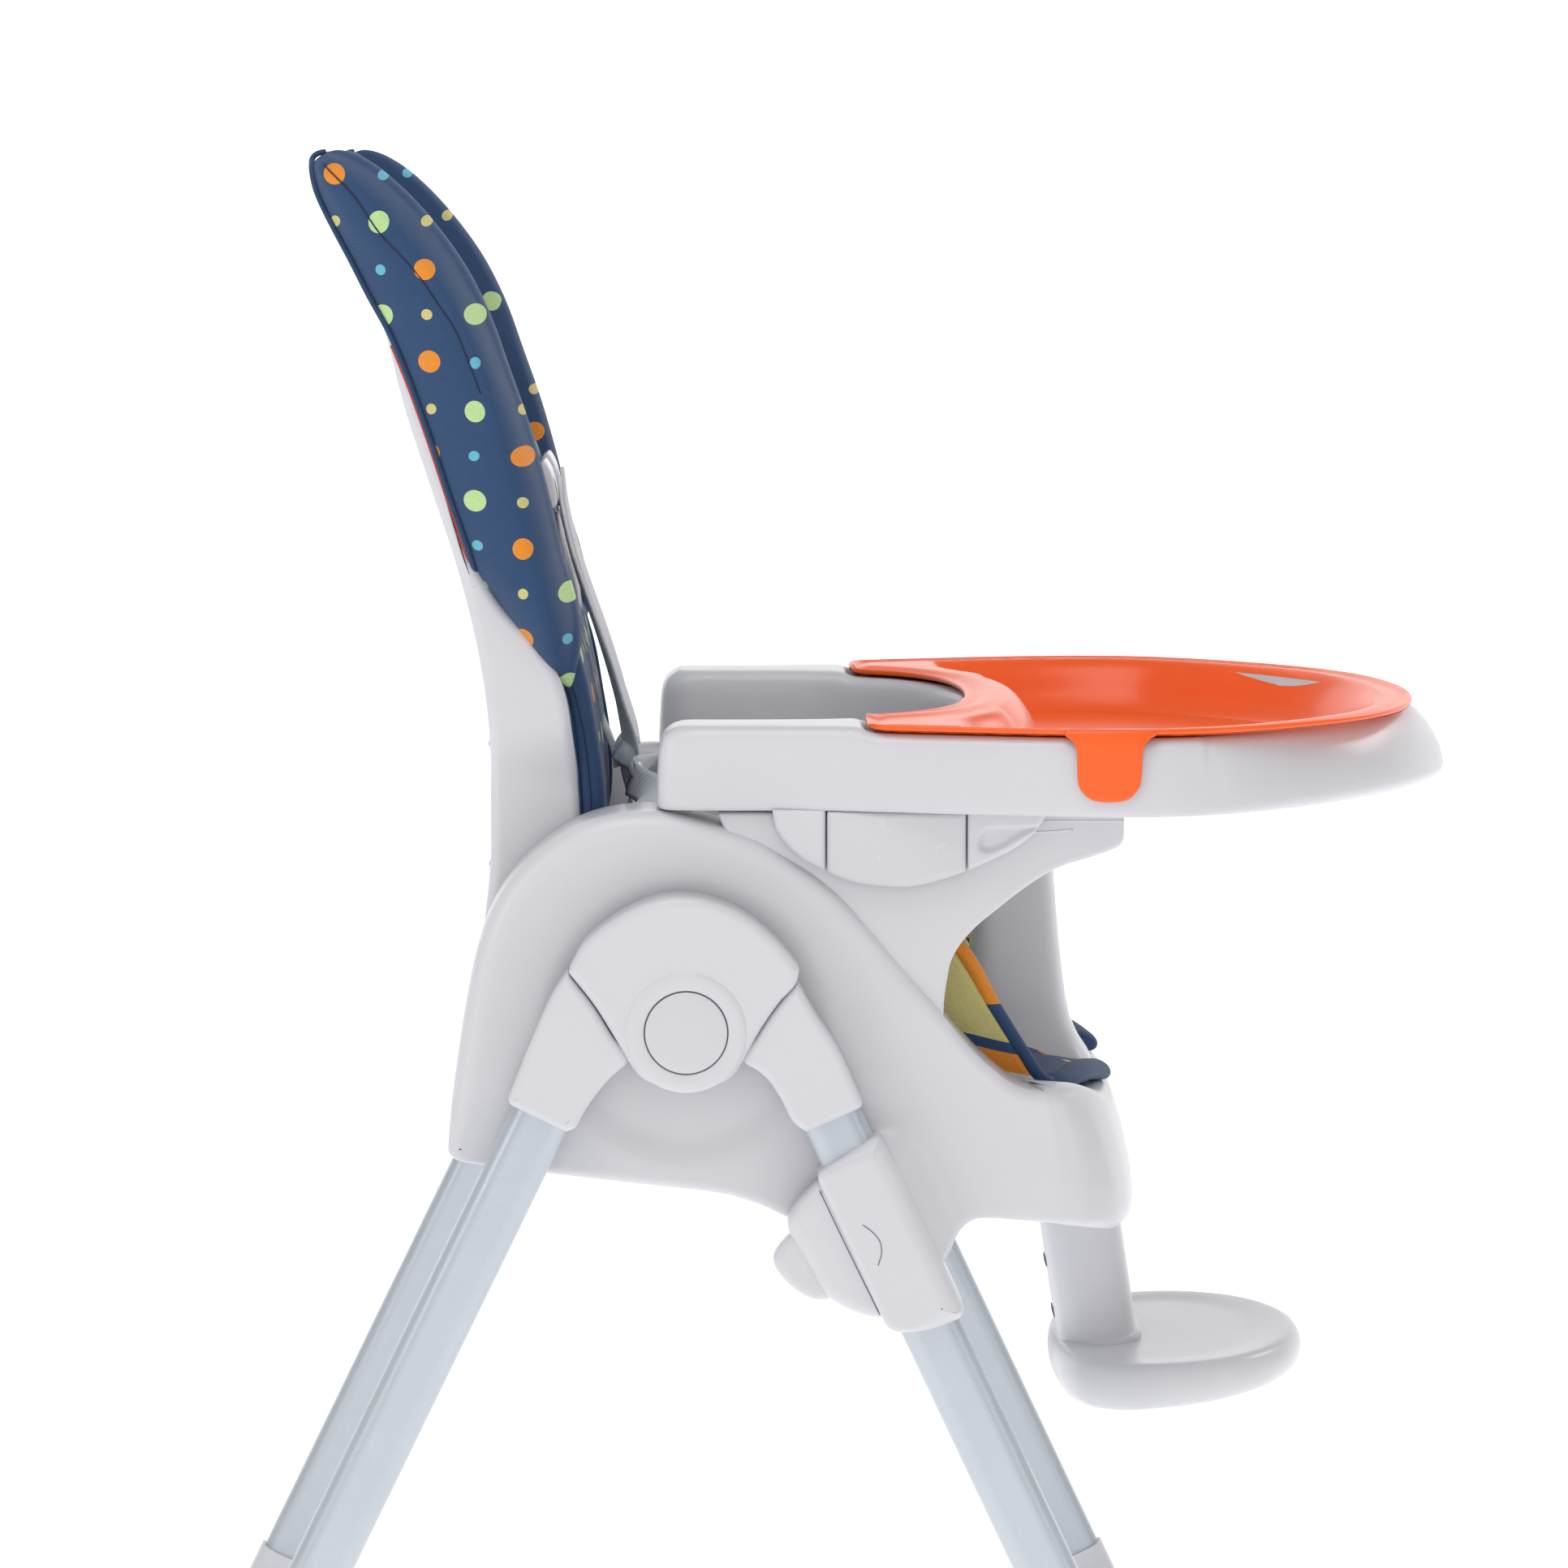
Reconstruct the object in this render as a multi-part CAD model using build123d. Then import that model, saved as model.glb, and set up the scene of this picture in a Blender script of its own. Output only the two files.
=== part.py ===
from build123d import *
import math
import os

os.makedirs("parts", exist_ok=True)

# Baby high chair.  Millimetres, +X towards the tray, +Y the child's left, +Z up.
# Profiles are drawn with X measured from the folding hinge; SHIFT_X then puts
# the origin at the middle of the footprint on the floor.

# ---------------------------------------------------------------- driving sizes
SHIFT_X = -82.2        # hinge axis to the middle of the length
HINGE_Z = 550.0        # folding hinge above the floor
FRONT_ANGLE = 25.1     # front legs from the vertical
REAR_ANGLE = 25.9      # rear legs from the vertical
FRONT_OFFSET = 60.0    # hinge axis to the front leg's centre line
REAR_OFFSET = 59.0     # hinge axis to the rear leg's centre line
LEG_W = 38.5           # oval leg tube, long way
LEG_T = 22.0           # oval leg tube, thickness
LEG_WALL = 2.0
LEG_Y = 250.0          # leg tube centre from the middle plane
SOCKET_END = 91.0      # along the leg, from the foot of the perpendicular to the hinge
LEG_END_Z = 30.0       # tube end above the floor
FOOT_TOP_Z = 80.0      # foot sleeve starts here
PAD_T = 8.0            # rubber pad under each foot
BAR_Z = 45.0           # cross bars above the floor
HUB_R = 50.0           # the two hinge discs on each side
PIN_R = 8.0
RUN = 0.05             # radial running clearance
BUTTON_R = 26.3
SEAT_Y = 230.0         # outer face of the seat sides
TUB_Y = 165.0          # inner face of the seat tub
TRAY_Z0, TRAY_Z1 = 687.5, 738.0
STEM_TILT = 8.8        # footrest stem from the vertical
RECLINE_X, RECLINE_Z = -123.0, 555.0

fa, ra = math.radians(FRONT_ANGLE), math.radians(REAR_ANGLE)
FD = (math.sin(fa), -math.cos(fa))     # down the front leg
FN = (math.cos(fa), math.sin(fa))      # forward, square to it
RD = (-math.sin(ra), -math.cos(ra))
RN = (-math.cos(ra), math.sin(ra))


def front_pt(off, s):
    return (off * FN[0] + s * FD[0], HINGE_Z + off * FN[1] + s * FD[1])


def rear_pt(off, s):
    return (off * RN[0] + s * RD[0], HINGE_Z + off * RN[1] + s * RD[1])


# ---------------------------------------------------------------- helpers
def solid_of(shape):
    s = shape.solids()
    if len(s) == 1:
        return s[0]
    return Compound(children=list(s))


def wire_of(*runs, y=None, z=None):
    """Closed wire from runs of points; a run marked 's' is a spline, 'p' straight."""
    def p3(p):
        return (p[0], y, p[1]) if y is not None else (p[0], p[1], z)
    edges = []
    last = None
    first = None
    for kind, pts in runs:
        q = [p3(p) for p in pts]
        if last is not None:
            q = [last] + q
        if first is None:
            first = q[0]
        if kind == "s" and len(q) > 2:
            edges.append(Edge.make_spline([Vector(*a) for a in q]))
        else:
            for a, b in zip(q[:-1], q[1:]):
                edges.append(Edge.make_line(Vector(*a), Vector(*b)))
        last = q[-1]
    if (Vector(*last) - Vector(*first)).length > 1e-6:
        edges.append(Edge.make_line(Vector(*last), Vector(*first)))
    return Wire(edges)


def prism_y(runs, y0, y1):
    """Side profile (X, Z) pulled from y0 to y1."""
    if not isinstance(runs[0][0], str):
        runs = [("p", runs)]
    f = Face(wire_of(*runs, y=y0))
    return Solid.extrude(f, Vector(0, y1 - y0, 0))


def prism_z(runs, z0, z1):
    """Plan (X, Y) pulled from z0 to z1."""
    if not isinstance(runs[0][0], str):
        runs = [("p", runs)]
    f = Face(wire_of(*runs, z=z0))
    return Solid.extrude(f, Vector(0, 0, z1 - z0))


def box(x0, x1, y0, y1, z0, z1):
    return Solid.make_box(x1 - x0, y1 - y0, z1 - z0).moved(Location((x0, y0, z0)))


def cyl_y(x, z, r, y0, y1):
    return Solid.make_cylinder(r, y1 - y0, Plane(origin=(x, y0, z), z_dir=(0, 1, 0)))


def oval_along(p0, d, s0, s1, w, t, y):
    """Flat-oval bar running down a leg from s0 to s1."""
    o = (p0[0] + s0 * d[0], y, p0[1] + s0 * d[1])
    pl = Plane(origin=o, x_dir=(0, 1, 0), z_dir=(d[0], 0, d[1]))
    # t runs across the chair, w along the side
    sk = pl * (Rot(0, 0, 90) * SlotOverall(w, t))
    return extrude(sk, s1 - s0)


def mirrored(shape):
    return shape.mirror(Plane.XZ)


def save(name, shape):
    shape = solid_of(shape)
    shape = shape.moved(Location((SHIFT_X, 0, 0)))
    shape.label = name
    export_step(shape, "parts/" + name + ".step")


def save_pair(name, right):
    """The right side is drawn at negative Y; the left is its mirror image."""
    save(name + "_right", right)
    save(name + "_left", mirrored(right))


def both(right):
    return Compound(children=list(right.solids()) + list(mirrored(right).solids()))


R = -1.0               # every handed piece is drawn on the child's right, at negative Y

# ---------------------------------------------------------------- folding frame
F0 = front_pt(FRONT_OFFSET, 0)
R0 = rear_pt(REAR_OFFSET, 0)
f_end = (F0[1] - LEG_END_Z) / math.cos(fa)
r_end = (R0[1] - LEG_END_Z) / math.cos(ra)


def leg(p0, d, s_end):
    tube = oval_along(p0, d, SOCKET_END, s_end, LEG_W, LEG_T, R * LEG_Y)
    hole = oval_along(p0, d, SOCKET_END - 1, s_end + 1, LEG_W - 2 * LEG_WALL, LEG_T - 2 * LEG_WALL, R * LEG_Y)
    return tube - hole


def foot(p0, d, s_end, ang):
    s_top = (p0[1] - FOOT_TOP_Z) / math.cos(ang)
    s_low = (p0[1] + 30) / math.cos(ang)
    sleeve = oval_along(p0, d, s_top, s_low, LEG_W + 5, LEG_T + 5, R * LEG_Y)
    sleeve = sleeve & box(-600, 600, -300, 300, PAD_T, 200)
    sleeve = sleeve - oval_along(p0, d, s_top - 5, s_end, LEG_W, LEG_T, R * LEG_Y)
    return sleeve


def foot_pad(p0, d, ang):
    s = p0[1] / math.cos(ang)
    xc = p0[0] + s * d[0]
    pad = box(xc - 21, xc + 21, R * LEG_Y - 11.5, R * LEG_Y + 11.5, 0, PAD_T)
    return fillet(pad.edges().filter_by(Axis.Z), 8)


def cross_bar(p0, d, ang):
    s = (p0[1] - BAR_Z) / math.cos(ang)
    xc = p0[0] + s * d[0]
    half = LEG_Y - (LEG_T + 5) / 2
    pl = Plane(origin=(xc, -half, BAR_Z), x_dir=(1, 0, 0), z_dir=(0, 1, 0))
    bar = extrude(pl * SlotOverall(30, 20), 2 * half)
    return bar - extrude(Plane(origin=(xc, -half - 1, BAR_Z), x_dir=(1, 0, 0), z_dir=(0, 1, 0)) * SlotOverall(26, 16), 2 * half + 2)


save_pair("front_leg", leg(F0, FD, f_end))
save_pair("rear_leg", leg(R0, RD, r_end))
save_pair("front_foot", foot(F0, FD, f_end, fa))
save_pair("rear_foot", foot(R0, RD, r_end, ra))
save("front_foot_pads", both(foot_pad(F0, FD, fa)))
save("rear_foot_pads", both(foot_pad(R0, RD, ra)))
save("front_crossbar", cross_bar(F0, FD, fa))
save("rear_crossbar", cross_bar(R0, RD, ra))

# hinge: two discs side by side, a fan-shaped cover over both, a push button in its middle
FRONT_SOCKET = [(71.3, 581.1), (80.6, 563.9), (97.4, 537.5), (113.2, 503.7), (112.3, 500.3),
                (77.5, 484.1), (70.4, 488.8), (51.0, 520.8), (38.0, 528.4), (36.1, 530.5),
                (45.4, 547.4), (60.2, 568.9)]
REAR_SOCKET = [(-75.8, 588.0), (-84.2, 575.5), (-97.3, 547.5), (-114.2, 506.2), (-113.0, 502.6),
               (-77.3, 484.8), (-71.6, 485.9), (-66.0, 496.7), (-47.4, 522.0), (-37.1, 529.8),
               (-47.3, 547.7), (-58.3, 565.5)]
COVER = [(-75.2, 589.2), (-65.5, 606.0), (-50.8, 619.0), (-32.2, 630.0), (-13.7, 636.0), (1.0, 636.6),
         (19.6, 632.8), (38.0, 624.4), (54.6, 611.3), (73.1, 590.7), (71.3, 581.1), (60.2, 568.9),
         (45.4, 547.4), (36.1, 530.5), (0.0, 520.0), (-36.6, 530.6), (-46.7, 548.3), (-57.7, 566.1)]


def y_prism(pts, a, b):
    """Profile between two distances from the middle plane, on the right side."""
    return prism_y(pts, R * b, R * a)


def disc(r, a, b, x=0.0, z=HINGE_Z):
    return cyl_y(x, z, r, R * b, R * a)


def spigot(p0, d):
    return oval_along(p0, d, SOCKET_END - 6, SOCKET_END + 30, LEG_W - 2 * LEG_WALL, LEG_T - 2 * LEG_WALL, R * LEG_Y)


def socket_end_cut(p0, d):
    # trims the socket square to the leg where the tube butts against it
    o = (p0[0] + SOCKET_END * d[0], p0[1] + SOCKET_END * d[1])
    n = (d[1], -d[0])
    pts = [(o[0] + 60 * n[0], o[1] + 60 * n[1]), (o[0] - 60 * n[0], o[1] - 60 * n[1]),
           (o[0] - 60 * n[0] + 30 * d[0], o[1] - 60 * n[1] + 30 * d[1]),
           (o[0] + 60 * n[0] + 30 * d[0], o[1] + 60 * n[1] + 30 * d[1])]
    return y_prism(pts, 230, 275)


front_socket = y_prism(FRONT_SOCKET, 234, 268) - disc(HUB_R + 0.6, 250.7, 275)
front_socket = front_socket + disc(HUB_R, 234, 250.7)
front_socket = front_socket - disc(PIN_R + RUN, 230, 252)
front_socket = (front_socket - socket_end_cut(F0, FD)) + spigot(F0, FD)
save_pair("front_hinge_socket", front_socket)

rear_socket = y_prism(REAR_SOCKET, 234, 268) - disc(HUB_R + 0.6, 230, 251)
rear_socket = rear_socket - disc(HUB_R + 0.6, 266, 275)
rear_socket = rear_socket + disc(HUB_R, 251, 266)
rear_socket = rear_socket - disc(PIN_R + RUN, 250, 262) - disc(BUTTON_R + 1.2, 257, 268)
rear_socket = (rear_socket - socket_end_cut(R0, RD)) + spigot(R0, RD)
save_pair("rear_hinge_socket", rear_socket)

cover = y_prism(COVER, 234, 272) - disc(HUB_R + 0.6, 230, 266.4)
ring = disc(40.0, 266.4, 272)
cover = (cover + ring) - disc(BUTTON_R + 0.5, 260, 275)
save_pair("hinge_cover", cover)
save("hinge_pivots", both(disc(PIN_R, 234, 256)))
button = disc(BUTTON_R, 263, 274)
button = fillet(button.edges().sort_by(Axis.Y)[0], 2.0)
save_pair("fold_button", button)

# ---------------------------------------------------------------- seat
ARCH_TOP = [(-155, 464), (-152.9, 490.7), (-147.9, 528.7), (-141.1, 570.2), (-135.4, 596.6), (-125.9, 623),
            (-114.6, 641.9), (-99.6, 657.8), (-84.6, 669.5), (-68.7, 678.5), (-52.8, 683.6), (-38, 686),
            (-17.5, 686.5), (-4.4, 684.5), (8.6, 681.3), (27.2, 675.6), (47.8, 667.8), (64.6, 658.0),
            (83.3, 646), (102, 629.5), (120.7, 608), (136.2, 589), (154.7, 567.2), (168.5, 550.5),
            (182.4, 533.7), (199, 517.8), (211, 508.5), (225, 504.2), (243.4, 503.7), (258, 506.5), (271, 510)]
FRONT_EDGE = [(281.7, 494), (288, 482), (295, 460), (300.3, 437.2), (302.6, 419.7), (301.8, 412)]
UNDER = [(296, 404), (284, 402), (262, 408), (240, 417), (196, 420.5), (186.5, 420), (179.2, 415), (175.1, 409.9),
         (170.8, 400.9), (163, 392), (110, 405), (65.7, 421), (49.6, 429.2), (28.9, 436), (12, 438.9), (-40.6, 444.8),
         (-89.5, 450.7), (-132.6, 456.5)]
SIDE = [("s", ARCH_TOP), ("s", FRONT_EDGE), ("p", UNDER)]
PLAN_HALF = [(243, 230), (262, 223), (279, 206), (290, 180), (297, 140), (301, 80), (303, 0)]
plan_runs = [("p", [(-170, -230), (243, -230)]),
             ("s", [(x, -y) for x, y in PLAN_HALF[1:]] + [(x, y) for x, y in PLAN_HALF[-2::-1]]),
             ("p", [(-170, 230)])]
PLAN = prism_z(plan_runs, 380, 720)


def seat_block(y0, y1):
    return prism_y(SIDE, y0, y1) & PLAN


def shrink(pts, d):
    """Profile moved inwards by d."""
    f = Face(wire_of(("p", pts), y=0.0))
    g = offset(f, amount=-d)
    return g


side_pts = ARCH_TOP + FRONT_EDGE + UNDER
inner_face = shrink(side_pts, 4.0)
inner = Solid.extrude(inner_face.faces()[0], Vector(0, -(SEAT_Y - 4.0), 0))
plan_in = [("p", [(-166, -226), (240, -226), (259, -219), (275.5, -203.5), (286, -178.5), (292.7, -139), (296.5, -79), (298, 0),
                  (296.5, 79), (292.7, 139), (286, 178.5), (275.5, 203.5), (259, 219), (240, 226), (-166, 226)])]
PLAN_IN = prism_z(plan_in, 380, 720)
inner = inner & PLAN_IN & box(-200, 320, -SEAT_Y, -(TUB_Y + 5), 380, 720)
seat_side = seat_block(-SEAT_Y, -(TUB_Y + 5)) - inner
save_pair("seat_side", seat_side)

# tub: floor, inner walls, front skirt, stem guide and post socket
tub = seat_block(-(TUB_Y + 5), TUB_Y + 5)
seat_space = prism_y([(-220, 520), (-122, 520), (-112, 482), (255, 482), (259, 503), (266, 530), (330, 540),
                      (330, 800), (-220, 800)], -TUB_Y, TUB_Y)
tub = tub - seat_space


def axis_pt(off, u):
    """Point on the footrest stem's own axes: off across it, u up along it."""
    t = math.radians(STEM_TILT)
    cx, cz = 273.5, 383.0
    return (cx + off * math.cos(t) - u * math.sin(t), cz + off * math.sin(t) + u * math.cos(t))


# the stem's guide runs along the stem's own tilt
guide = prism_y([axis_pt(-31.5, -40), axis_pt(25.5, -40), axis_pt(25.5, 45), axis_pt(17, 75), axis_pt(11, 100),
                 axis_pt(2, 125), axis_pt(-31.5, 130)], -43.6, 43.6)
tub = tub - guide

# centre post, hollow for the stem's tongue
POST_FRONT = [(266.5, 512.7), (261.4, 526.5), (257.4, 552), (254.7, 576), (250.9, 618.6), (249, 684)]
post = prism_y([("p", [(190, 484), (254.5, 484), (258.5, 503)]), ("s", POST_FRONT), ("p", [(196, 684), (193, 560)])], -40, 40)
cap = prism_y([(182, 482), (255, 482), (258.8, 502.5), (262, 515), (256, 524), (190, 524)], -49, 49)
post = post + cap
tub = tub - post
save("seat_tub", tub)
post_bore = prism_y([axis_pt(-45, 60), axis_pt(24, 60), axis_pt(17, 75), axis_pt(11, 100), axis_pt(2, 125), axis_pt(2, 128), axis_pt(-31.5, 131)], -43.6, 43.6)
tongue_bore = prism_y([axis_pt(-31.5, 90), axis_pt(5, 90), axis_pt(-1.0, 195), axis_pt(-31.5, 195)], -30.6, 30.6)
post = post - post_bore - tongue_bore
save("crotch_post", post)

# slider that runs on the front leg, and the latch housing on its rear edge
sl = [front_pt(34.8, 116), front_pt(85.2, 116), front_pt(85.2, 232), front_pt(34.8, 232)]
slider = y_prism(sl, SEAT_Y, 271)
slider = fillet(slider.edges().filter_by(lambda e: abs(e.center().Y + 271) < 0.1 and e.length > 100), 12)
gusset = y_prism([(70, 470), (84, 486), (140, 500), (214, 440), (188, 421), (176, 380), front_pt(34.8, 231), front_pt(34.8, 117)],
                 SEAT_Y, 238.5)
slider = slider + gusset
leg_bore = oval_along(F0, FD, 60, 300, LEG_W + 0.8, LEG_T + 0.8, R * LEG_Y)
slider = slider - leg_bore
save_pair("height_slider", slider)

LOBE = [(83.6, 448.5), (74.1, 439.3), (68.1, 431.3), (65.1, 426.3), (65.6, 418.1), (92.1, 374.3), (101.1, 368.7),
        (111.1, 364.1), (119.1, 362.0), front_pt(34.8, 223.5), front_pt(34.8, 124)]
housing = y_prism(LOBE, 236, 266)
housing = housing - y_prism([front_pt(-40, 143), front_pt(31, 143), front_pt(31, 212), front_pt(-40, 212)], 242.6, 259.4)
save_pair("height_housing", housing)
TRIGGER = [(65.7, 414.9), (59.1, 407.6), (55.7, 400.6), (56.7, 395.4), (61.2, 388.3), (69.2, 380.1), (78.3, 374.5),
           (87.3, 372.4), (95, 375), (101, 386), (86, 418), (75, 422)]
save_pair("height_button", y_prism(TRIGGER, 243, 259))

# tray rails on top of the seat sides
arch_cut = prism_y(SIDE, -240, -160)
RAIL = [("p", [(58, 686.5), (283.3, 686.5), (283.3, 667)]), ("s", [(277.2, 661.5), (267.4, 657.8), (236.8, 647.3), (218.4, 635.6),
        (201.3, 622.1), (186.6, 609.7), (177.0, 598.5), (171.9, 589.2), (169.1, 576.2), (167.3, 563.1), (166.8, 552.8)]), ("p", [(60, 600)])]
rail = y_prism(RAIL, 187, 222) - arch_cut
rail = rail - box(150, 290, -223, -220, 675.5, 678) - box(150, 290, -223, -220, 669.5, 671.5)
rail_in = prism_y([(70, 683), (280, 683), (280, 671), (262, 660.5), (231, 650), (196, 623.5), (171, 598), (162, 575)], -219, -187) - \
    prism_y([("p", [(x + 3.5, z + 3.5) for x, z in ARCH_TOP[:24]] + [(174, 380), (-170, 380)])], -240, -160)
rail = rail - (rail_in & box(60, 282, -219, -190.5, 500, 700))
save_pair("tray_rail", rail)

# ---------------------------------------------------------------- backrest
SHELL_REAR = [(-135, 530), (-133, 600), (-128, 646), (-128, 678), (-129, 743), (-135, 785), (-148, 839), (-165, 892),
              (-182, 945), (-196, 1000), (-199, 1010)]
SHELL_FRONT = [(-190, 1010), (-187, 997), (-174, 945), (-157, 892), (-140, 839), (-126, 785), (-120, 743), (-119, 678),
               (-119, 646), (-122, 600), (-122, 530)]
plate_low = prism_y(SHELL_REAR + SHELL_FRONT, -160, 160)
plate_high = prism_y(SHELL_REAR[4:] + SHELL_FRONT[:6] + [(-124, 743)], -178, 178)
plate_high = prism_y([("p", SHELL_REAR + SHELL_FRONT)], -178, 178) & box(-300, 0, -178, 178, 702, 1100)
CHEEK = [(-122, 530), (-95, 530), (-78, 560), (-72, 600), (-69, 675), (-74, 728), (-83, 770), (-96, 791), (-118, 815),
         (-134.6, 833.5), (-138.5, 833.5), (-126, 785), (-120, 743), (-119, 678), (-119, 646), (-122, 600)]
cheek = prism_y(CHEEK, -160, -150)
flare = prism_y(CHEEK, -178, -160) & box(-300, 0, -178, -160, 702, 900)
boss = cyl_y(RECLINE_X, RECLINE_Z, 20, -160, -150)
shell = plate_low + plate_high + cheek + flare + boss + mirrored(cheek) + mirrored(flare) + mirrored(boss)
pin_hole = cyl_y(RECLINE_X, RECLINE_Z, PIN_R + RUN, -161, -151.5)
shell = shell - pin_hole - mirrored(pin_hole)
save("backrest_shell", shell)
rpin = cyl_y(RECLINE_X, RECLINE_Z, PIN_R, -165, -153)
save("backrest_pivots", both(rpin))

WING = [(-134.6, 833.9), (-118, 815.4), (-96, 791.4), (-83, 770.4), (-79.6, 759), (-68.5, 775), (-69.5, 804), (-73, 825), (-77.8, 845),
        (-80, 868), (-81.6, 906), (-88.1, 932.5), (-98, 963), (-107.5, 991.5), (-120.5, 1020), (-131.3, 1037.4),
        (-146.5, 1059), (-161.7, 1076.5), (-179, 1092.8), (-198.5, 1105.8), (-213.7, 1111.3), (-232, 1111), (-240, 1106),
        (-239, 1088), (-230.5, 1070.6), (-217.8, 1047), (-209.3, 1029.8), (-201, 1010.5), (-190, 1010.5), (-187, 997), (-174, 945),
        (-157, 892), (-140, 839), (-138.5, 833.9)]
wing = prism_y(WING, -200, 200)
hollow = prism_y([(-57, 720), (-66, 780), (-82, 840), (-92, 892), (-104, 945), (-124, 995), (-148, 1040), (-172, 1072), (-205, 1101),
                  (-205, 1130), (0, 1130), (0, 720)], -148, 148)
wing = wing - hollow
core = prism_y([(-119, 646), (-119, 678), (-120, 743), (-126, 785), (-140, 839), (-82, 839), (-66, 780), (-57, 720), (-55, 660),
                (-56, 600), (-62, 562), (-76, 532), (-121.7, 532), (-121.7, 600)], -149.5, 149.5)
strip = prism_y([(-69, 675), (-74, 728), (-83, 770), (-79, 775), (-66, 780), (-60, 728), (-56, 675)], -160, 160)
cushion = wing + core + strip
save("backrest_cushion", cushion)


# ---------------------------------------------------------------- harness
def ribbon(pts, t, y0, y1):
    """Flat webbing following a side-view path."""
    up, dn = [], []
    for i, (x, z) in enumerate(pts):
        a = pts[max(0, i - 1)]
        b = pts[min(len(pts) - 1, i + 1)]
        dx, dz = b[0] - a[0], b[1] - a[1]
        n = math.hypot(dx, dz)
        up.append((x - dz / n * t / 2, z + dx / n * t / 2))
        dn.append((x + dz / n * t / 2, z - dx / n * t / 2))
    return prism_y(up + dn[::-1], y0, y1)


strap = ribbon([(-87.5, 900), (-84.5, 882), (-76, 850), (-64, 800), (-51, 750), (-40, 714), (-36, 704)], 2.0, -68, -30)
save("shoulder_straps", both(strap))
guide_pts = [(-93.3, 905), (-88, 905), (-84.5, 893), (-86, 880), (-89.7, 880)]
slot_guide = prism_y([(-94.2, 905), (-90.0, 912), (-86.5, 905), (-83, 893), (-81.5, 876), (-84.3, 870), (-87.2, 870)], -78, -71)
slot_guide = slot_guide + prism_y([(-94.2, 905), (-90.0, 912), (-86.5, 905)], -78, -20)
slot_guide = slot_guide + prism_y([(-94.2, 905), (-90.0, 912), (-86.5, 905), (-83, 893), (-81.5, 876), (-84.3, 870), (-87.2, 870)], -27, -20)
save("strap_guides", both(slot_guide))
buckle = prism_y([(-42, 699), (-30, 699), (-27, 690), (-29, 672), (-41, 672), (-44, 690)], -26, 26)
buckle = buckle - box(-38, -33.5, -14, 14, 686, 700)
save("harness_buckle", buckle)
crotch = ribbon([(-35, 671.5), (-28, 640), (-8, 590), (30, 540), (70, 507), (90, 504.2)], 2.0, -19, 19)
save("crotch_strap", crotch)
waist_pts = [(26.2, 692), (26.2, 676), (60, 640), (120, 545), (147, 524), (147, 546), (132, 562), (74, 656), (40, 690)]
waist = Solid.extrude(Face(Wire([Edge.make_line(Vector(-36, -a[0], a[1]), Vector(-36, -b[0], b[1]))
                                 for a, b in zip(waist_pts, waist_pts[1:] + waist_pts[:1])])), Vector(2, 0, 0))
save("waist_straps", both(waist))

# ---------------------------------------------------------------- seat cushion
pad = box(-92, 254, -158, 158, 482, 502)
lip = prism_y([(254, 502), (258, 503.2), (266, 511), (272, 511.5), (284, 494), (290, 488), (293, 494), (279, 517), (266, 520), (256, 515), (240, 503), (240, 502)], -150, 150)
lip = lip & PLAN_IN.moved(Location((6, 0, 0)))
wall = prism_y([(-48, 500), (254, 500), (243, 503), (239, 494), (236, 500), (176, 591.5), (140, 612), (60, 630), (-30, 640), (-48, 600)], -162, -150)
wall = prism_y([(-48, 490), (236, 490), (239, 496), (176, 591.5), (140, 612), (60, 628), (-25, 636), (-48, 600)], -162, -150)
cush = pad + lip + wall + mirrored(wall)
cush = cush - prism_y([(178, 470), (262, 470), (262, 540), (178, 540)], -52, 52)
cush = cush - prism_y([(250, 470), (300, 470), (300, 540), (250, 540)], -52, 52)
cush = cush - tub
save("seat_cushion", cush)

# ---------------------------------------------------------------- tray
OUT = [(-10, 225.5), (0, 227), (60, 229), (118, 236), (180, 252), (215, 261), (241, 266), (268, 269), (290, 269.5), (315, 267),
       (340, 259), (370, 242), (400, 219), (430, 190), (460, 152), (485, 110), (503, 70), (515, 30), (518, 0)]
INN = [(60, 163), (100, 158), (130, 146), (155, 125), (173, 95), (184, 50), (187, 0)]


def tray_plan(d):
    """Tray outline moved inwards by d."""
    ou = []
    pts = OUT
    for i, (x, y) in enumerate(pts):
        a = pts[max(0, i - 1)]
        b = pts[min(len(pts) - 1, i + 1)] if i < len(pts) - 1 else (x, -1.0)
        dx, dy = b[0] - a[0], b[1] - a[1]
        if i == len(pts) - 1:
            dx, dy = 0.0, -1.0
        n = math.hypot(dx, dy)
        ou.append((x + dy / n * d, y - dx / n * d))
    inn = []
    for i, (x, y) in enumerate(INN):
        a = INN[max(0, i - 1)]
        b = INN[min(len(INN) - 1, i + 1)]
        dx, dy = b[0] - a[0], b[1] - a[1]
        if i == len(INN) - 1:
            dx, dy = 0.0, -1.0
        if i == 0:
            dx, dy = 1.0, 0.0
        n = math.hypot(dx, dy)
        inn.append((x - dy / n * d, y + dx / n * d))
    x0 = -19 + d
    yo, yi = ou[0][1], 163 + d
    runs = [("p", [(x0, yi + 10), (x0, yo - 10)]),
            ("s", [(x0 + 3, yo - 3)] + ou + [(x, -y) for x, y in ou[-2::-1]] + [(x0 + 3, -(yo - 3)), (x0, -(yo - 10))]),
            ("p", [(x0, -(yi + 10)), (x0 + 8, -yi), (inn[0][0], -inn[0][1])]),
            ("s", [(x, -y) for x, y in inn[1:]] + [(x, y) for x, y in inn[-2::-1]]),
            ("p", [(x0 + 8, yi)])]
    return runs


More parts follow.
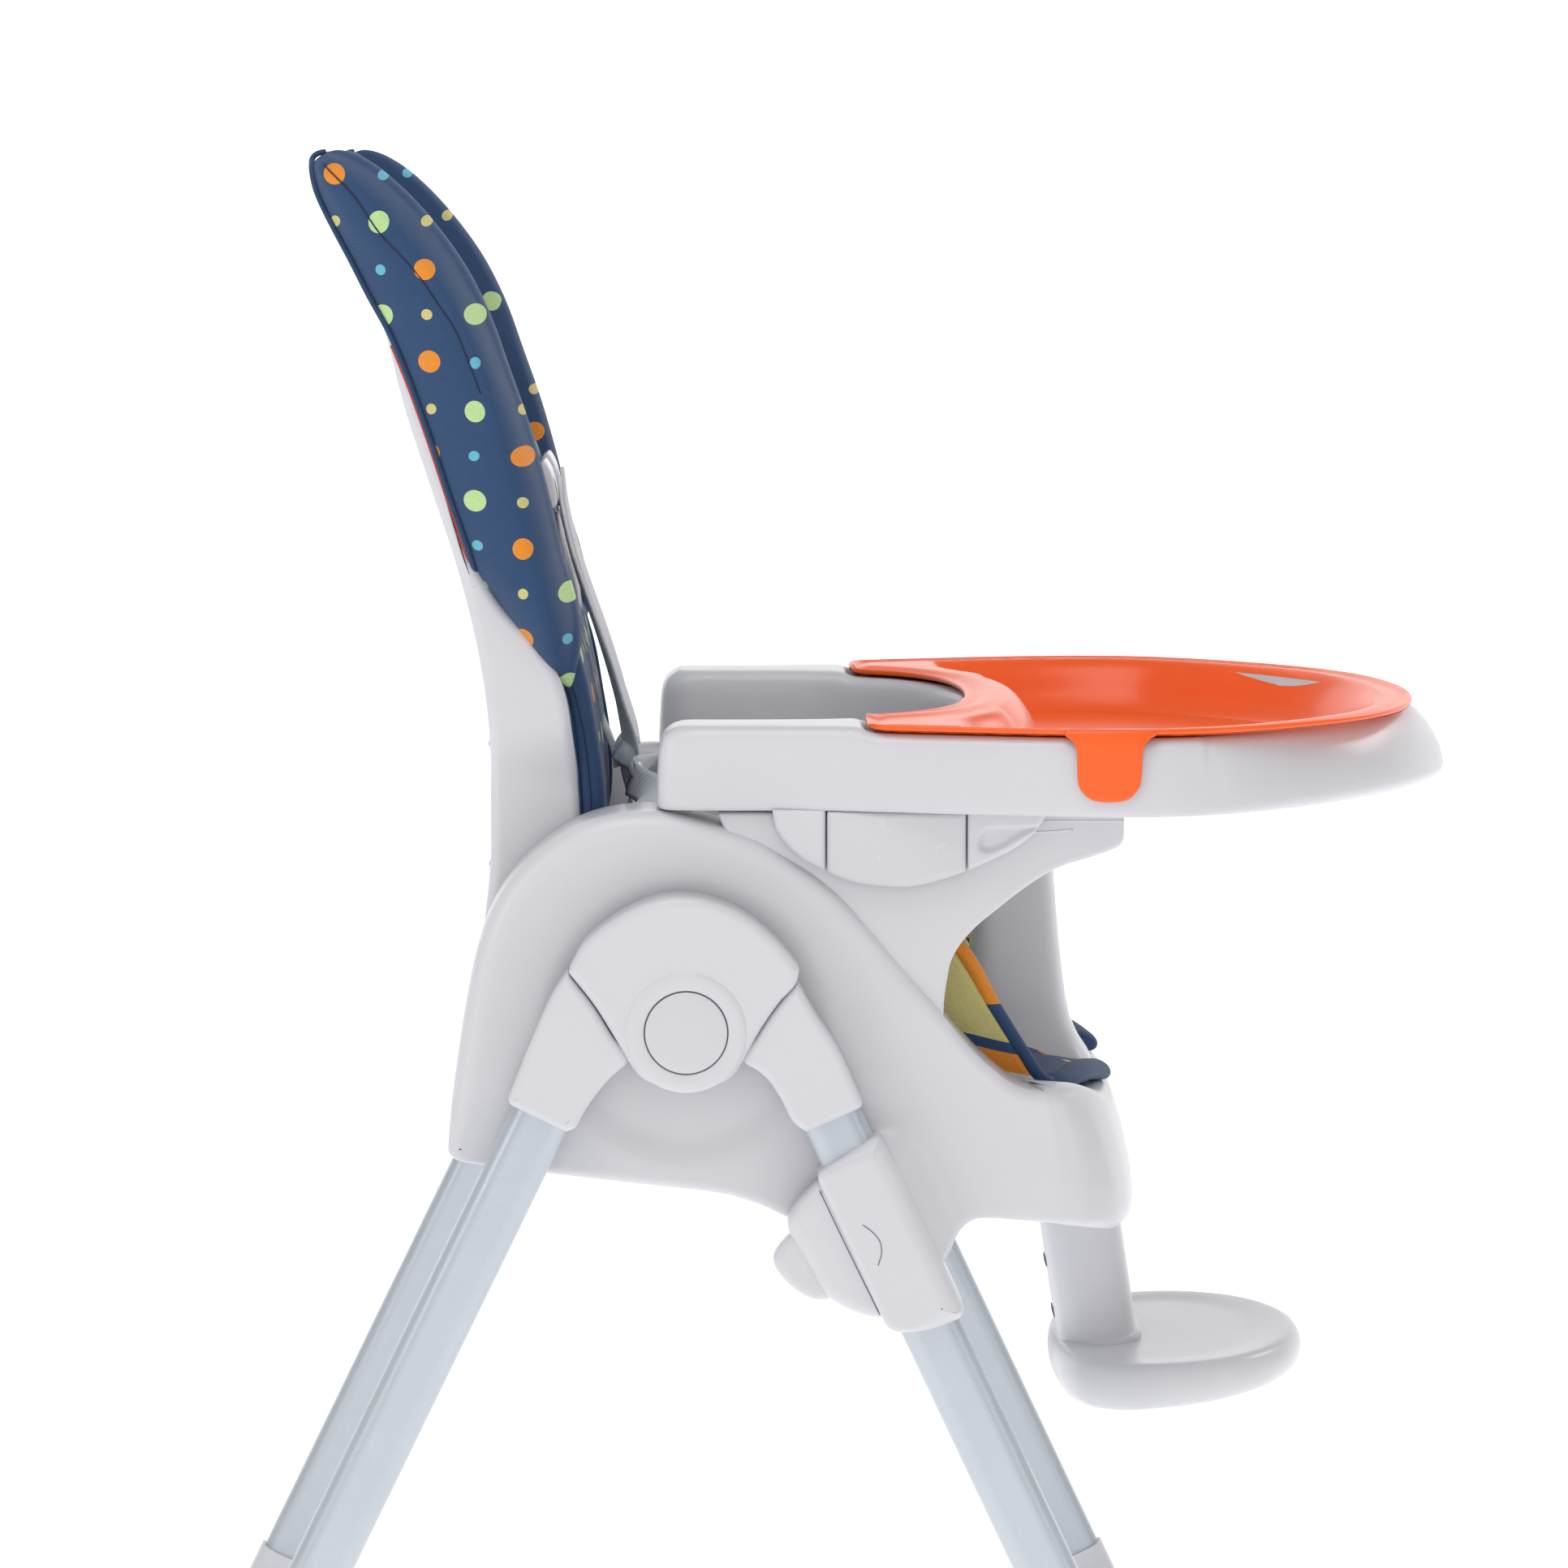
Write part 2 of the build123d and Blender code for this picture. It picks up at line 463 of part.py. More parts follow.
tray = prism_z(tray_plan(0), TRAY_Z0, TRAY_Z1)
arm_top = prism_z(tray_plan(0), TRAY_Z1 - 0.01, 742) & box(-40, 112, -300, 300, 730, 750)
tray = tray + arm_top
pocket = prism_z(tray_plan(5), 693, 760) & box(114, 600, -300, 300, 690, 760)
tray = tray - pocket
below = prism_z(tray_plan(5), 680, 737) & box(-40, 108, -300, 300, 680, 737)
tray = tray - below
save("tray_base", tray)

flange = prism_z(tray_plan(2), 738.4, 743.4) & box(114, 600, -300, 300, 700, 760)
basin = prism_z(tray_plan(9), 700, 743.4) & box(120, 600, -300, 300, 690, 760)
basin_in = prism_z(tray_plan(13), 704, 760) & box(124, 600, -300, 300, 690, 770)
tab = box(247, 292, -273.2, -264, 738.4, 743.4) + prism_y([("p", [(247, 743.4), (292, 743.4), (292, 716)]), ("s", [(287, 703), (269.5, 698), (252, 703), (247, 716)])], -273.2, -270)
insert = (flange + basin) - basin_in
insert = insert + tab + mirrored(tab)
save("tray_insert", insert)

B_REAR = [("s", [(56, 687.5), (57.8, 676.5), (65.1, 665.4), (76.2, 655.8), (88, 649.5)]), ("p", [(90, 687.5)])]
B_FRONT = [("p", [(181.4, 687.5), (181.4, 648.6)]), ("s", [(195.6, 654.9), (210.3, 662.2), (223, 671.5), (235, 687.5)])]
front_seg = y_prism(B_FRONT, 222.8, 232) - y_prism([(187, 660), (191, 676), (228, 677.5), (196, 660)], 229, 233)
bracket = y_prism(B_REAR, 222.8, 232) + front_seg + y_prism([(60, 683.5), (230, 683.5), (230, 687.5), (60, 687.5)], 222.8, 232)
save_pair("tray_bracket", bracket)
LEVER = [("p", [(90.5, 683), (90.5, 648.0)]), ("s", [(105.6, 642.1), (127.6, 638.7), (146, 638.7), (164.4, 642.9), (180.9, 648.4)]), ("p", [(180.9, 683)])]
save_pair("tray_release", y_prism(LEVER, 226.5, 234))

# ---------------------------------------------------------------- footrest
stem = prism_y([axis_pt(-30.5, -86), axis_pt(24.5, -86), axis_pt(24.5, 44), axis_pt(16, 74), axis_pt(10, 99), axis_pt(1, 122),
                axis_pt(-30.5, 126)], -43, 43)
stem = fillet(stem.edges().filter_by(lambda e: e.length > 120 and abs(e.center().X - axis_pt(-30.5, 20)[0]) < 4), 14)
stem = stem + prism_y([axis_pt(-30.5, 100), axis_pt(4, 100), axis_pt(-2, 185), axis_pt(-30.5, 185)], -30, 30)
for u in (-66, -30):
    stem = stem - prism_y([axis_pt(-31, u - 3), axis_pt(-27.5, u - 3), axis_pt(-27.5, u + 3), axis_pt(-31, u + 3)], -12, 12)
foot_plan = [("s", [(250, 0), (252, 50), (262, 95), (285, 120), (320, 130), (355, 124), (385, 105), (408, 75), (420, 40),
                    (424, 0), (420, -40), (408, -75), (385, -105), (355, -124), (320, -130), (285, -120), (262, -95), (252, -50), (250, 0)])]
plate = prism_z(foot_plan, 240, 330) & prism_y([(245, 290), (250, 272), (262, 266.5), (300, 268), (418, 280), (427, 290),
                                                   (422, 305), (400, 305), (300, 299.5), (255, 296)], -140, 140)
low = prism_y([axis_pt(-80, -84.5), axis_pt(80, -84.5), axis_pt(80, 300), axis_pt(-80, 300)], -60, 60)
stem = stem - plate
save("footrest_stem", stem)
save("footrest_plate", plate)
print("done")
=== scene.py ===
import bpy
import bmesh
import math
import numpy as np
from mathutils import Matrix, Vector, geometry


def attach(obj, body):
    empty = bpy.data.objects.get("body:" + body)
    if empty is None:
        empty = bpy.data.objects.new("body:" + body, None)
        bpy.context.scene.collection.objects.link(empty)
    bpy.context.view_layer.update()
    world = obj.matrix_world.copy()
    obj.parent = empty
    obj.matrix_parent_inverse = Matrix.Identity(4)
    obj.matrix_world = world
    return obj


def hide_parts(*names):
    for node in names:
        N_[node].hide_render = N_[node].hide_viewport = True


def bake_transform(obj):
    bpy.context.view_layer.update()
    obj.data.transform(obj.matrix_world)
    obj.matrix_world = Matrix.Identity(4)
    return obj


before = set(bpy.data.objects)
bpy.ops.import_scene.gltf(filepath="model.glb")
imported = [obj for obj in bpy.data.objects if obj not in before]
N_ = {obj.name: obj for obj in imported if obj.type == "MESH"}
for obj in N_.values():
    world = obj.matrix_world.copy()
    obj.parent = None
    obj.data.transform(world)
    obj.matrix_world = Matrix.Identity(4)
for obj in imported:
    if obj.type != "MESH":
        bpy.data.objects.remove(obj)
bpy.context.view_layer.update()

# Baby high chair.  Profiles are in millimetres with X from the folding hinge,
# as in the CAD model; SX moves them into the shared frame.
SX = -82.2
HZ = 550.0
FA = math.radians(25.1)
FD = (math.sin(FA), -math.cos(FA))
FN = (math.cos(FA), math.sin(FA))
TILT = math.radians(8.8)


def front_pt(off, s):
    return (off * FN[0] + s * FD[0], HZ + off * FN[1] + s * FD[1])


def axis_pt(off, u):
    return (273.5 + off * math.cos(TILT) - u * math.sin(TILT), 383.0 + off * math.sin(TILT) + u * math.cos(TILT))


def smooth(a, b, x):
    t = np.clip((np.asarray(x, float) - a) / (b - a), 0, 1)
    return t * t * (3 - 2 * t)


# ------------------------------------------------------------------ curves
def hermite(P, step=2.0, closed=False):
    """Smooth curve through points, in 2-D or 3-D."""
    P = np.asarray(P, float)
    n = len(P)
    d = np.linalg.norm(np.diff(np.vstack([P, P[:1]]), axis=0), axis=1)
    d[d < 1e-6] = 1e-6
    T = np.zeros_like(P)
    for i in range(n):
        if closed or 0 < i < n - 1:
            a, b = P[(i - 1) % n], P[(i + 1) % n]
            da, db = d[(i - 1) % n], d[i]
            T[i] = ((P[i] - a) / da * db + (b - P[i]) / db * da) / (da + db)
        elif i == 0:
            T[i] = (P[1] - P[0]) / d[0]
        else:
            T[i] = (P[i] - P[i - 1]) / d[i - 1]
    out = []
    for i in range(n if closed else n - 1):
        j = (i + 1) % n
        k = max(1, int(round(d[i] / step)))
        for q in range(k):
            t = q / k
            h00, h10 = 2 * t**3 - 3 * t**2 + 1, t**3 - 2 * t**2 + t
            h01, h11 = -2 * t**3 + 3 * t**2, t**3 - t**2
            out.append(h00 * P[i] + h10 * d[i] * T[i] + h01 * P[j] + h11 * d[i] * T[j])
    if not closed:
        out.append(P[-1])
    return np.array(out)


def resample(P, n=None, step=None, closed=True):
    P = np.asarray(P, float)
    Q = np.vstack([P, P[:1]]) if closed else P
    s = np.concatenate([[0], np.cumsum(np.linalg.norm(np.diff(Q, axis=0), axis=1))])
    if n is None:
        n = max(8, int(round(s[-1] / step)))
    t = np.linspace(0, s[-1], n + 1)[:-1] if closed else np.linspace(0, s[-1], n)
    return np.column_stack([np.interp(t, s, Q[:, k]) for k in range(Q.shape[1])])


def blur(P, sig, step):
    """Rounds a closed outline by about sig millimetres."""
    if sig <= 0:
        return P
    m = max(1, int(math.ceil(3 * sig / step)))
    w = np.exp(-0.5 * (np.arange(-m, m + 1) * step / sig) ** 2)
    w /= w.sum()
    out = np.zeros_like(P)
    for k, wk in zip(range(-m, m + 1), w):
        out += wk * np.roll(P, k, axis=0)
    return out


def ccw(P):
    a = np.sum(P[:, 0] * np.roll(P[:, 1], -1) - np.roll(P[:, 0], -1) * P[:, 1])
    return P if a > 0 else P[::-1].copy()


def outline(rr, step=2.5, sig=2.0):
    if not isinstance(rr[0][0], str):
        rr = [("p", rr)]
    pts, last = [], None
    for kind, p in rr:
        q = ([last] if last is not None else []) + [tuple(a) for a in p]
        c = hermite(q, 2.0) if kind == "s" and len(q) > 2 else np.array(q, float)
        for a in c:
            if not pts or np.linalg.norm(np.array(pts[-1]) - a) > 1e-4:
                pts.append(tuple(a))
        last = tuple(q[-1])
    if np.linalg.norm(np.array(pts[0]) - np.array(pts[-1])) < 1e-4:
        pts.pop()
    P = resample(np.array(pts), step=step)
    return ccw(blur(P, sig, step))


def inward(P):
    T = np.roll(P, -1, 0) - np.roll(P, 1, 0)
    T /= np.maximum(np.linalg.norm(T, axis=1, keepdims=True), 1e-9)
    return np.column_stack([-T[:, 1], T[:, 0]])


def inside(Q, P):
    x, y = Q[:, 0][:, None], Q[:, 1][:, None]
    a, b = P, np.roll(P, -1, 0)
    c = ((a[:, 1] > y) != (b[:, 1] > y)) & (x < (b[:, 0] - a[:, 0]) * (y - a[:, 1]) / (b[:, 1] - a[:, 1] + 1e-12) + a[:, 0])
    return c.sum(1) % 2 == 1


def dist_to(Q, P, closed=True):
    a = P if closed else P[:-1]
    b = np.roll(P, -1, 0) if closed else P[1:]
    out = np.empty(len(Q))
    ab = b - a
    L = np.maximum((ab**2).sum(1), 1e-12)
    for i in range(0, len(Q), 2000):
        q = Q[i:i + 2000][:, None, :] - a[None]
        t = np.clip((q * ab).sum(2) / L, 0, 1)
        out[i:i + 2000] = np.sqrt((((q - t[..., None] * ab)) ** 2).sum(2).min(1))
    return out


def build(name, V, F, mat, body, side=None, uv=None, replaces=(), slot=None, sub=0, smooth_all=True):
    """V in hinge millimetres.  side 'left' mirrors a right-hand piece."""
    V = np.array(V, float)
    if side == "left":
        V[:, 1] *= -1
    co = V.copy()
    co[:, 0] += SX
    me = bpy.data.meshes.new(name)
    me.from_pydata((co / 1000.0).tolist(), [], [list(map(int, f)) for f in F])
    me.validate()
    bm = bmesh.new()
    bm.from_mesh(me)
    bmesh.ops.remove_doubles(bm, verts=bm.verts, dist=2e-6)
    bmesh.ops.recalc_face_normals(bm, faces=bm.faces)
    if uv is not None:
        layer = bm.loops.layers.uv.new("print")
        for f in bm.faces:
            for lp in f.loops:
                c = lp.vert.co
                lp[layer].uv = uv(c.x * 1000 - SX, c.y * 1000, c.z * 1000)
    bm.to_mesh(me)
    bm.free()
    for p in me.polygons:
        p.use_smooth = smooth_all
    me.materials.append(mat)
    ob = bpy.data.objects.new(name, me)
    bpy.context.scene.collection.objects.link(ob)
    if sub:
        m = ob.modifiers.new("sub", "SUBSURF")
        m.levels = m.render_levels = sub
    if body:
        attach(ob, body)
    if replaces:
        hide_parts(*replaces)
    return ob


def cap_fill(ring, grid, hole=None):
    """Triangles over a closed ring with points inside; returns new points and faces (ring indices first)."""
    P = np.asarray(ring, float)
    lo, hi = P.min(0), P.max(0)
    xs = np.arange(lo[0], hi[0], grid)
    ys = np.arange(lo[1], hi[1], grid * 0.866)
    G = np.array([(x + (grid / 2 if j % 2 else 0), y) for j, y in enumerate(ys) for x in xs])
    G = G[inside(G, P)]
    G = G[dist_to(G, P) > grid * 0.6]
    if hole is not None:
        G = G[~inside(G, hole)]
        G = G[dist_to(G, hole) > grid * 0.6]
    coords = [Vector((float(a), float(b))) for a, b in P]
    faces = [list(range(len(P)))]
    edges = []
    if hole is not None:
        h0 = len(coords)
        coords += [Vector((float(a), float(b))) for a, b in hole]
        edges = [(h0 + i, h0 + (i + 1) % len(hole)) for i in range(len(hole))]
    coords += [Vector((float(a), float(b))) for a, b in G]
    v, e, f, ov, oe, of = geometry.delaunay_2d_cdt(coords, edges, faces, 1, 1e-5)
    V = np.array([(a.x, a.y) for a in v])
    F = [list(t) for t in f]
    if hole is not None:
        C = np.array([V[t].mean(0) for t in F])
        keep = ~inside(C, hole)
        F = [t for t, k in zip(F, keep) if k]
    return V, F


def untangle(R, P, ins):
    """Where an inset ring crosses itself at a tight corner, the crossed run closes to one point."""
    w = ins if isinstance(ins, np.ndarray) else np.full(len(P), float(ins))
    if w.max() < 0.05:
        return R
    bad = dist_to(R, P) < w * 0.97 - 0.02
    if not bad.any() or bad.all():
        return R
    n = len(P)
    R = R.copy()
    start = int(np.argmin(bad))
    i = 0
    while i < n:
        a = (start + i) % n
        if bad[a]:
            run = []
            while bad[(start + i) % n] and i < n:
                run.append((start + i) % n)
                i += 1
            p, q = (run[0] - 1) % n, (run[-1] + 1) % n
            mid = (R[p] + R[q]) / 2
            R[run] = mid
        else:
            i += 1
    return R


def shell_solid(name, P, levels, mat, body, to3=None, caps=(None, None), grid=4.0, bumpa=None, bumpb=None, hole=None, **kw):
    """Rings of one outline.  levels: (inset, level) per ring; to3 maps (x, z, level) to a point.
    caps: 'n' flat polygon, 'g' gridded surface, for the first and last ring."""
    P = ccw(np.asarray(P, float))
    N = inward(P)
    V, F, n = [], [], len(P)
    rings2 = []
    for inset, lev in levels:
        ins = inset(P) if callable(inset) else inset
        R = P + N * (ins[:, None] if isinstance(ins, np.ndarray) else ins)
        R = untangle(R, P, ins)
        rings2.append(R)
        L = lev(R) if callable(lev) else np.full(n, float(lev))
        V.append(to3(R[:, 0], R[:, 1], L))
    for k in range(len(levels) - 1):
        for i in range(n):
            j = (i + 1) % n
            F.append([k * n + i, k * n + j, (k + 1) * n + j, (k + 1) * n + i])
    V = list(np.vstack(V))
    for which, kind in ((0, caps[0]), (1, caps[1])):
        base = 0 if which == 0 else (len(levels) - 1) * n
        R = rings2[0 if which == 0 else -1]
        lev = levels[0 if which == 0 else -1][1]
        if kind == "n":
            F.append([base + i for i in range(n)])
        elif kind == "g":
            h = hole if which == 1 else None
            G, T = cap_fill(R, grid, h)
            L = lev(G) if callable(lev) else np.full(len(G), float(lev))
            W = to3(G[:, 0], G[:, 1], L)
            off = len(V)
            V += list(W)
            F += [[off + a for a in t] for t in T]
    return build(name, V, F, mat, body, **kw)


def yside(x, z, y):
    return np.column_stack([x, -y, z])


def bevel(r0, y0, r1, y1, K=6, bump=None, lip=0.8):
    """Ring levels for a plate between |Y| y0 and y1, rounded by r0 inside and r1 outside.
    r1 must be a number; a function raises ValueError."""
    L = []
    if r0 > 0:
        L.append((r0 + lip, y0))
        for k in range(K + 1):
            a = math.pi / 2 * (1 - k / K)
            L.append((r0 * (1 - math.cos(a)), y0 + r0 * (1 - math.sin(a))))
    else:
        L.append((0.0, y0))

    def top(c, s):
        def ins(P):
            r = r1(P) if callable(r1) else np.full(len(P), float(r1))
            return r * (1 - c)
        return ins

    for k in range(K + 1):
        a = math.pi / 2 * k / K
        c, s = math.cos(a), math.sin(a)
        if callable(r1):
            raise ValueError
        y = y1 - r1 + r1 * s
        L.append((r1 * (1 - c), (lambda R, y=y: y + bump(R)) if bump else y))
    L.append((r1 + lip, (lambda R: y1 + bump(R)) if bump else y1))
    return L


def plate(name, P, y0, y1, mat, body, r0=0.0, r1=2.5, K=6, bump=None, grid=4.0, pair=True, hole=None, caps=None, **kw):
    rep = kw.pop("replaces", ())
    obs = []
    for side in (("right", "left") if pair else (None,)):
        nm = name + "_" + side if side else name
        rr = [x + "_" + side for x in rep] if side else list(rep)
        obs.append(shell_solid(nm, P, bevel(r0, y0, r1, y1, K, bump), mat, body[side] if isinstance(body, dict) else body,
                               to3=yside, caps=caps or ("n", "g" if (bump or hole is not None) else "n"), grid=grid, side=side,
                               replaces=rr, hole=hole, **kw))
    return obs


def lathe(name, prof, cx, cz, mat, body, n=96, pair=True, replaces=(), **kw):
    """prof: (radius, |Y|) from the inside outwards; the last radius 0 closes it."""
    V, F = [], []
    rows = []
    for r, y in prof:
        if r <= 1e-6:
            rows.append([len(V)])
            V.append((cx, -y, cz))
        else:
            rows.append(list(range(len(V), len(V) + n)))
            V += [(cx + r * math.cos(2 * math.pi * i / n), -y, cz + r * math.sin(2 * math.pi * i / n)) for i in range(n)]
    for a, b in zip(rows[:-1], rows[1:]):
        for i in range(n):
            j = (i + 1) % n
            if len(a) == 1 and len(b) > 1:
                F.append([a[0], b[i], b[j]])
            elif len(b) == 1 and len(a) > 1:
                F.append([a[i], a[j], b[0]])
            elif len(a) > 1:
                F.append([a[i], a[j], b[j], b[i]])
    out = []
    for side in (("right", "left") if pair else (None,)):
        nm = name + "_" + side if side else name
        rr = [x + "_" + side for x in replaces] if side else list(replaces)
        out.append(build(nm, V, F, mat, body[side] if isinstance(body, dict) else body, side=side, replaces=rr, **kw))
    return out


def tube(name, path, r, mat, body, n=10, side=None, squash_=(1.0, 1.0), closed=False, **kw):
    """Round piping or a cord-like trim along a 3-D path in hinge millimetres."""
    P = np.asarray(path, float)
    m = len(P)
    T = np.gradient(P, axis=0) if not closed else (np.roll(P, -1, 0) - np.roll(P, 1, 0))
    T /= np.maximum(np.linalg.norm(T, axis=1, keepdims=True), 1e-9)
    up = np.array([0.0, 1.0, 0.0])
    V, F = [], []
    rad = np.full(m, float(r)) if np.isscalar(r) else np.asarray(r, float)
    ref = up - T[0] * np.dot(up, T[0])
    if np.linalg.norm(ref) < 0.1:
        ref = np.array([1.0, 0, 0]) - T[0] * T[0][0]
    ref /= np.linalg.norm(ref)
    for i in range(m):
        ref = ref - T[i] * np.dot(ref, T[i])
        ref /= max(np.linalg.norm(ref), 1e-9)
        b = np.cross(T[i], ref)
        for k in range(n):
            a = 2 * math.pi * k / n
            V.append(P[i] + rad[i] * (ref * math.cos(a) * squash_[0] + b * math.sin(a) * squash_[1]))
    for i in range(m if closed else m - 1):
        ii = (i + 1) % m
        for k in range(n):
            kk = (k + 1) % n
            F.append([i * n + k, i * n + kk, ii * n + kk, ii * n + k])
    if not closed:
        F.append(list(range(n)))
        F.append([(m - 1) * n + k for k in range(n)])
    return build(name, V, F, mat, body, side=side, **kw)


def ribbon(name, path, width_dirs, w, t, mat, body, side=None, n_w=6, uvscale=True, **kw):
    """Flat webbing: path points, the direction across it at each point, width and thickness."""
    P = np.asarray(path, float)
    W = np.asarray(width_dirs, float)
    W = W / np.linalg.norm(W, axis=1, keepdims=True)
    T = np.gradient(P, axis=0)
    T /= np.linalg.norm(T, axis=1, keepdims=True)
    Nn = np.cross(T, W)
    Nn /= np.linalg.norm(Nn, axis=1, keepdims=True)
    w = np.full(len(P), float(w)) if np.isscalar(w) else np.asarray(w, float)
    prof = []
    for k in range(n_w + 1):
        u = -0.5 + k / n_w
        prof.append((u, 0.5 if 0 < k < n_w else 0.25))
    for k in range(n_w, -1, -1):
        u = -0.5 + k / n_w
        prof.append((u, -0.5 if 0 < k < n_w else -0.25))
    m = len(prof)
    V, F = [], []
    for i in range(len(P)):
        for u, h in prof:
            V.append(P[i] + W[i] * u * w[i] + Nn[i] * h * t)
    for i in range(len(P) - 1):
        for k in range(m):
            kk = (k + 1) % m
            F.append([i * m + k, i * m + kk, (i + 1) * m + kk, (i + 1) * m + k])
    F.append(list(range(m)))
    F.append([(len(P) - 1) * m + k for k in range(m)])
    return build(name, V, F, mat, body, side=side, **kw)


# ------------------------------------------------------------------ materials
class Nodes:
    def __init__(self, name):
        self.mat = bpy.data.materials.new(name)
        self.mat.use_nodes = True
        self.t = self.mat.node_tree
        self.b = self.t.nodes["Principled BSDF"]

    def new(self, kind, **kw):
        n = self.t.nodes.new(kind)
        for k, v in kw.items():
            setattr(n, k, v)
        return n

    def link(self, a, b):
        self.t.links.new(a, b)

    def math(self, op, a, b=None, c=None, clamp=False):
        n = self.new("ShaderNodeMath", operation=op, use_clamp=clamp)
        for i, v in enumerate((a, b, c)):
            if v is None:
                continue
            if isinstance(v, (int, float)):
                n.inputs[i].default_value = v
            else:
                self.link(v, n.inputs[i])
        return n.outputs[0]

    def mix(self, fac, a, b):
        n = self.new("ShaderNodeMix", data_type="RGBA")
        if isinstance(fac, (int, float)):
            n.inputs["Factor"].default_value = fac
        else:
            self.link(fac, n.inputs["Factor"])
        for s, v in (("A", a), ("B", b)):
            sock = [i for i in n.inputs if i.name == s and i.type == "RGBA"][0]
            if isinstance(v, (tuple, list)):
                sock.default_value = (*v[:3], 1)
            else:
                self.link(v, sock)
        return [o for o in n.outputs if o.type == "RGBA"][0]

    def noise(self, scale, detail=3.0, rough=0.5, vec=None):
        n = self.new("ShaderNodeTexNoise")
        n.inputs["Scale"].default_value = scale
        n.inputs["Detail"].default_value = detail
        n.inputs["Roughness"].default_value = rough
        if vec is None:
            vec = self.new("ShaderNodeTexCoord").outputs["Object"]
        self.link(vec, n.inputs["Vector"])
        return n.outputs["Fac"]

    def ramp(self, fac, lo, hi, a, b):
        n = self.new("ShaderNodeMapRange")
        n.inputs["From Min"].default_value = lo
        n.inputs["From Max"].default_value = hi
        n.inputs["To Min"].default_value = a
        n.inputs["To Max"].default_value = b
        self.link(fac, n.inputs["Value"])
        return n.outputs[0]

    def bump(self, height, strength, distance):
        n = self.new("ShaderNodeBump")
        n.inputs["Strength"].default_value = strength
        n.inputs["Distance"].default_value = distance
        self.link(height, n.inputs["Height"])
        self.link(n.outputs[0], self.b.inputs["Normal"])
        return n


def lin(r, g, b):
    f = lambda c: ((c / 255 + 0.055) / 1.055) ** 2.4 if c > 10 else c / 255 / 12.92
    return (f(r), f(g), f(b))


def plastic(name, col, rough, spec=0.5, coat=0.0, tex=0.00006, scale=420.0, wear=0.015, sss=0.0):
    """Moulded plastic: very fine grain, faint cloudiness, rubbed patches that change the gloss."""
    m = Nodes(name)
    cloud = m.noise(9.0, 4.0, 0.55)
    rub = m.noise(55.0, 6.0, 0.6)
    dark = tuple(c * (1 - wear) for c in col)
    m.link(m.mix(m.ramp(cloud, 0.35, 0.65, 0.0, 1.0), col, dark), m.b.inputs["Base Color"])
    m.link(m.ramp(rub, 0.3, 0.75, rough * 0.95, rough * 1.08), m.b.inputs["Roughness"])
    m.b.inputs["Specular IOR Level"].default_value = spec
    m.b.inputs["Coat Weight"].default_value = coat
    m.b.inputs["Coat Roughness"].default_value = 0.08
    if sss:
        m.b.inputs["Subsurface Weight"].default_value = sss
        m.b.inputs["Subsurface Radius"].default_value = (0.004, 0.004, 0.004)
    m.bump(m.noise(scale, 2.0, 0.5), 0.35, tex)
    return m.mat


def metal_paint(name, col, rough):
    """Powder-coated tube: orange-peel bump with small sparkling flakes and light scuffs."""
    m = Nodes(name)
    fl = m.noise(2600.0, 1.0, 0.5)
    sc = m.noise(26.0, 8.0, 0.65)
    c2 = tuple(min(1, c * 1.12) for c in col)
    m.link(m.mix(m.ramp(fl, 0.45, 0.75, 0.0, 1.0), col, c2), m.b.inputs["Base Color"])
    m.b.inputs["Metallic"].default_value = 0.35
    m.link(m.ramp(sc, 0.35, 0.7, rough * 0.85, rough * 1.25), m.b.inputs["Roughness"])
    m.b.inputs["Coat Weight"].default_value = 0.25
    m.b.inputs["Coat Roughness"].default_value = 0.25
    m.bump(m.noise(900.0, 2.0, 0.5), 0.4, 0.00005)
    return m.mat


def weave(m, vec, pitch, strength, distance):
    """Plain weave bump from two crossed waves, and returns its height."""
    sep = m.new("ShaderNodeSeparateXYZ")
    m.link(vec, sep.inputs[0])
    k = 2 * math.pi / pitch
    a = m.math("SINE", m.math("MULTIPLY", m.math("ADD", sep.outputs[0], sep.outputs[1]), k))
    b = m.math("SINE", m.math("MULTIPLY", sep.outputs[2], k))
    c = m.math("MULTIPLY", a, b)
    h = m.math("MULTIPLY_ADD", c, 0.5, 0.5)
    m.bump(h, strength, distance)
    return h


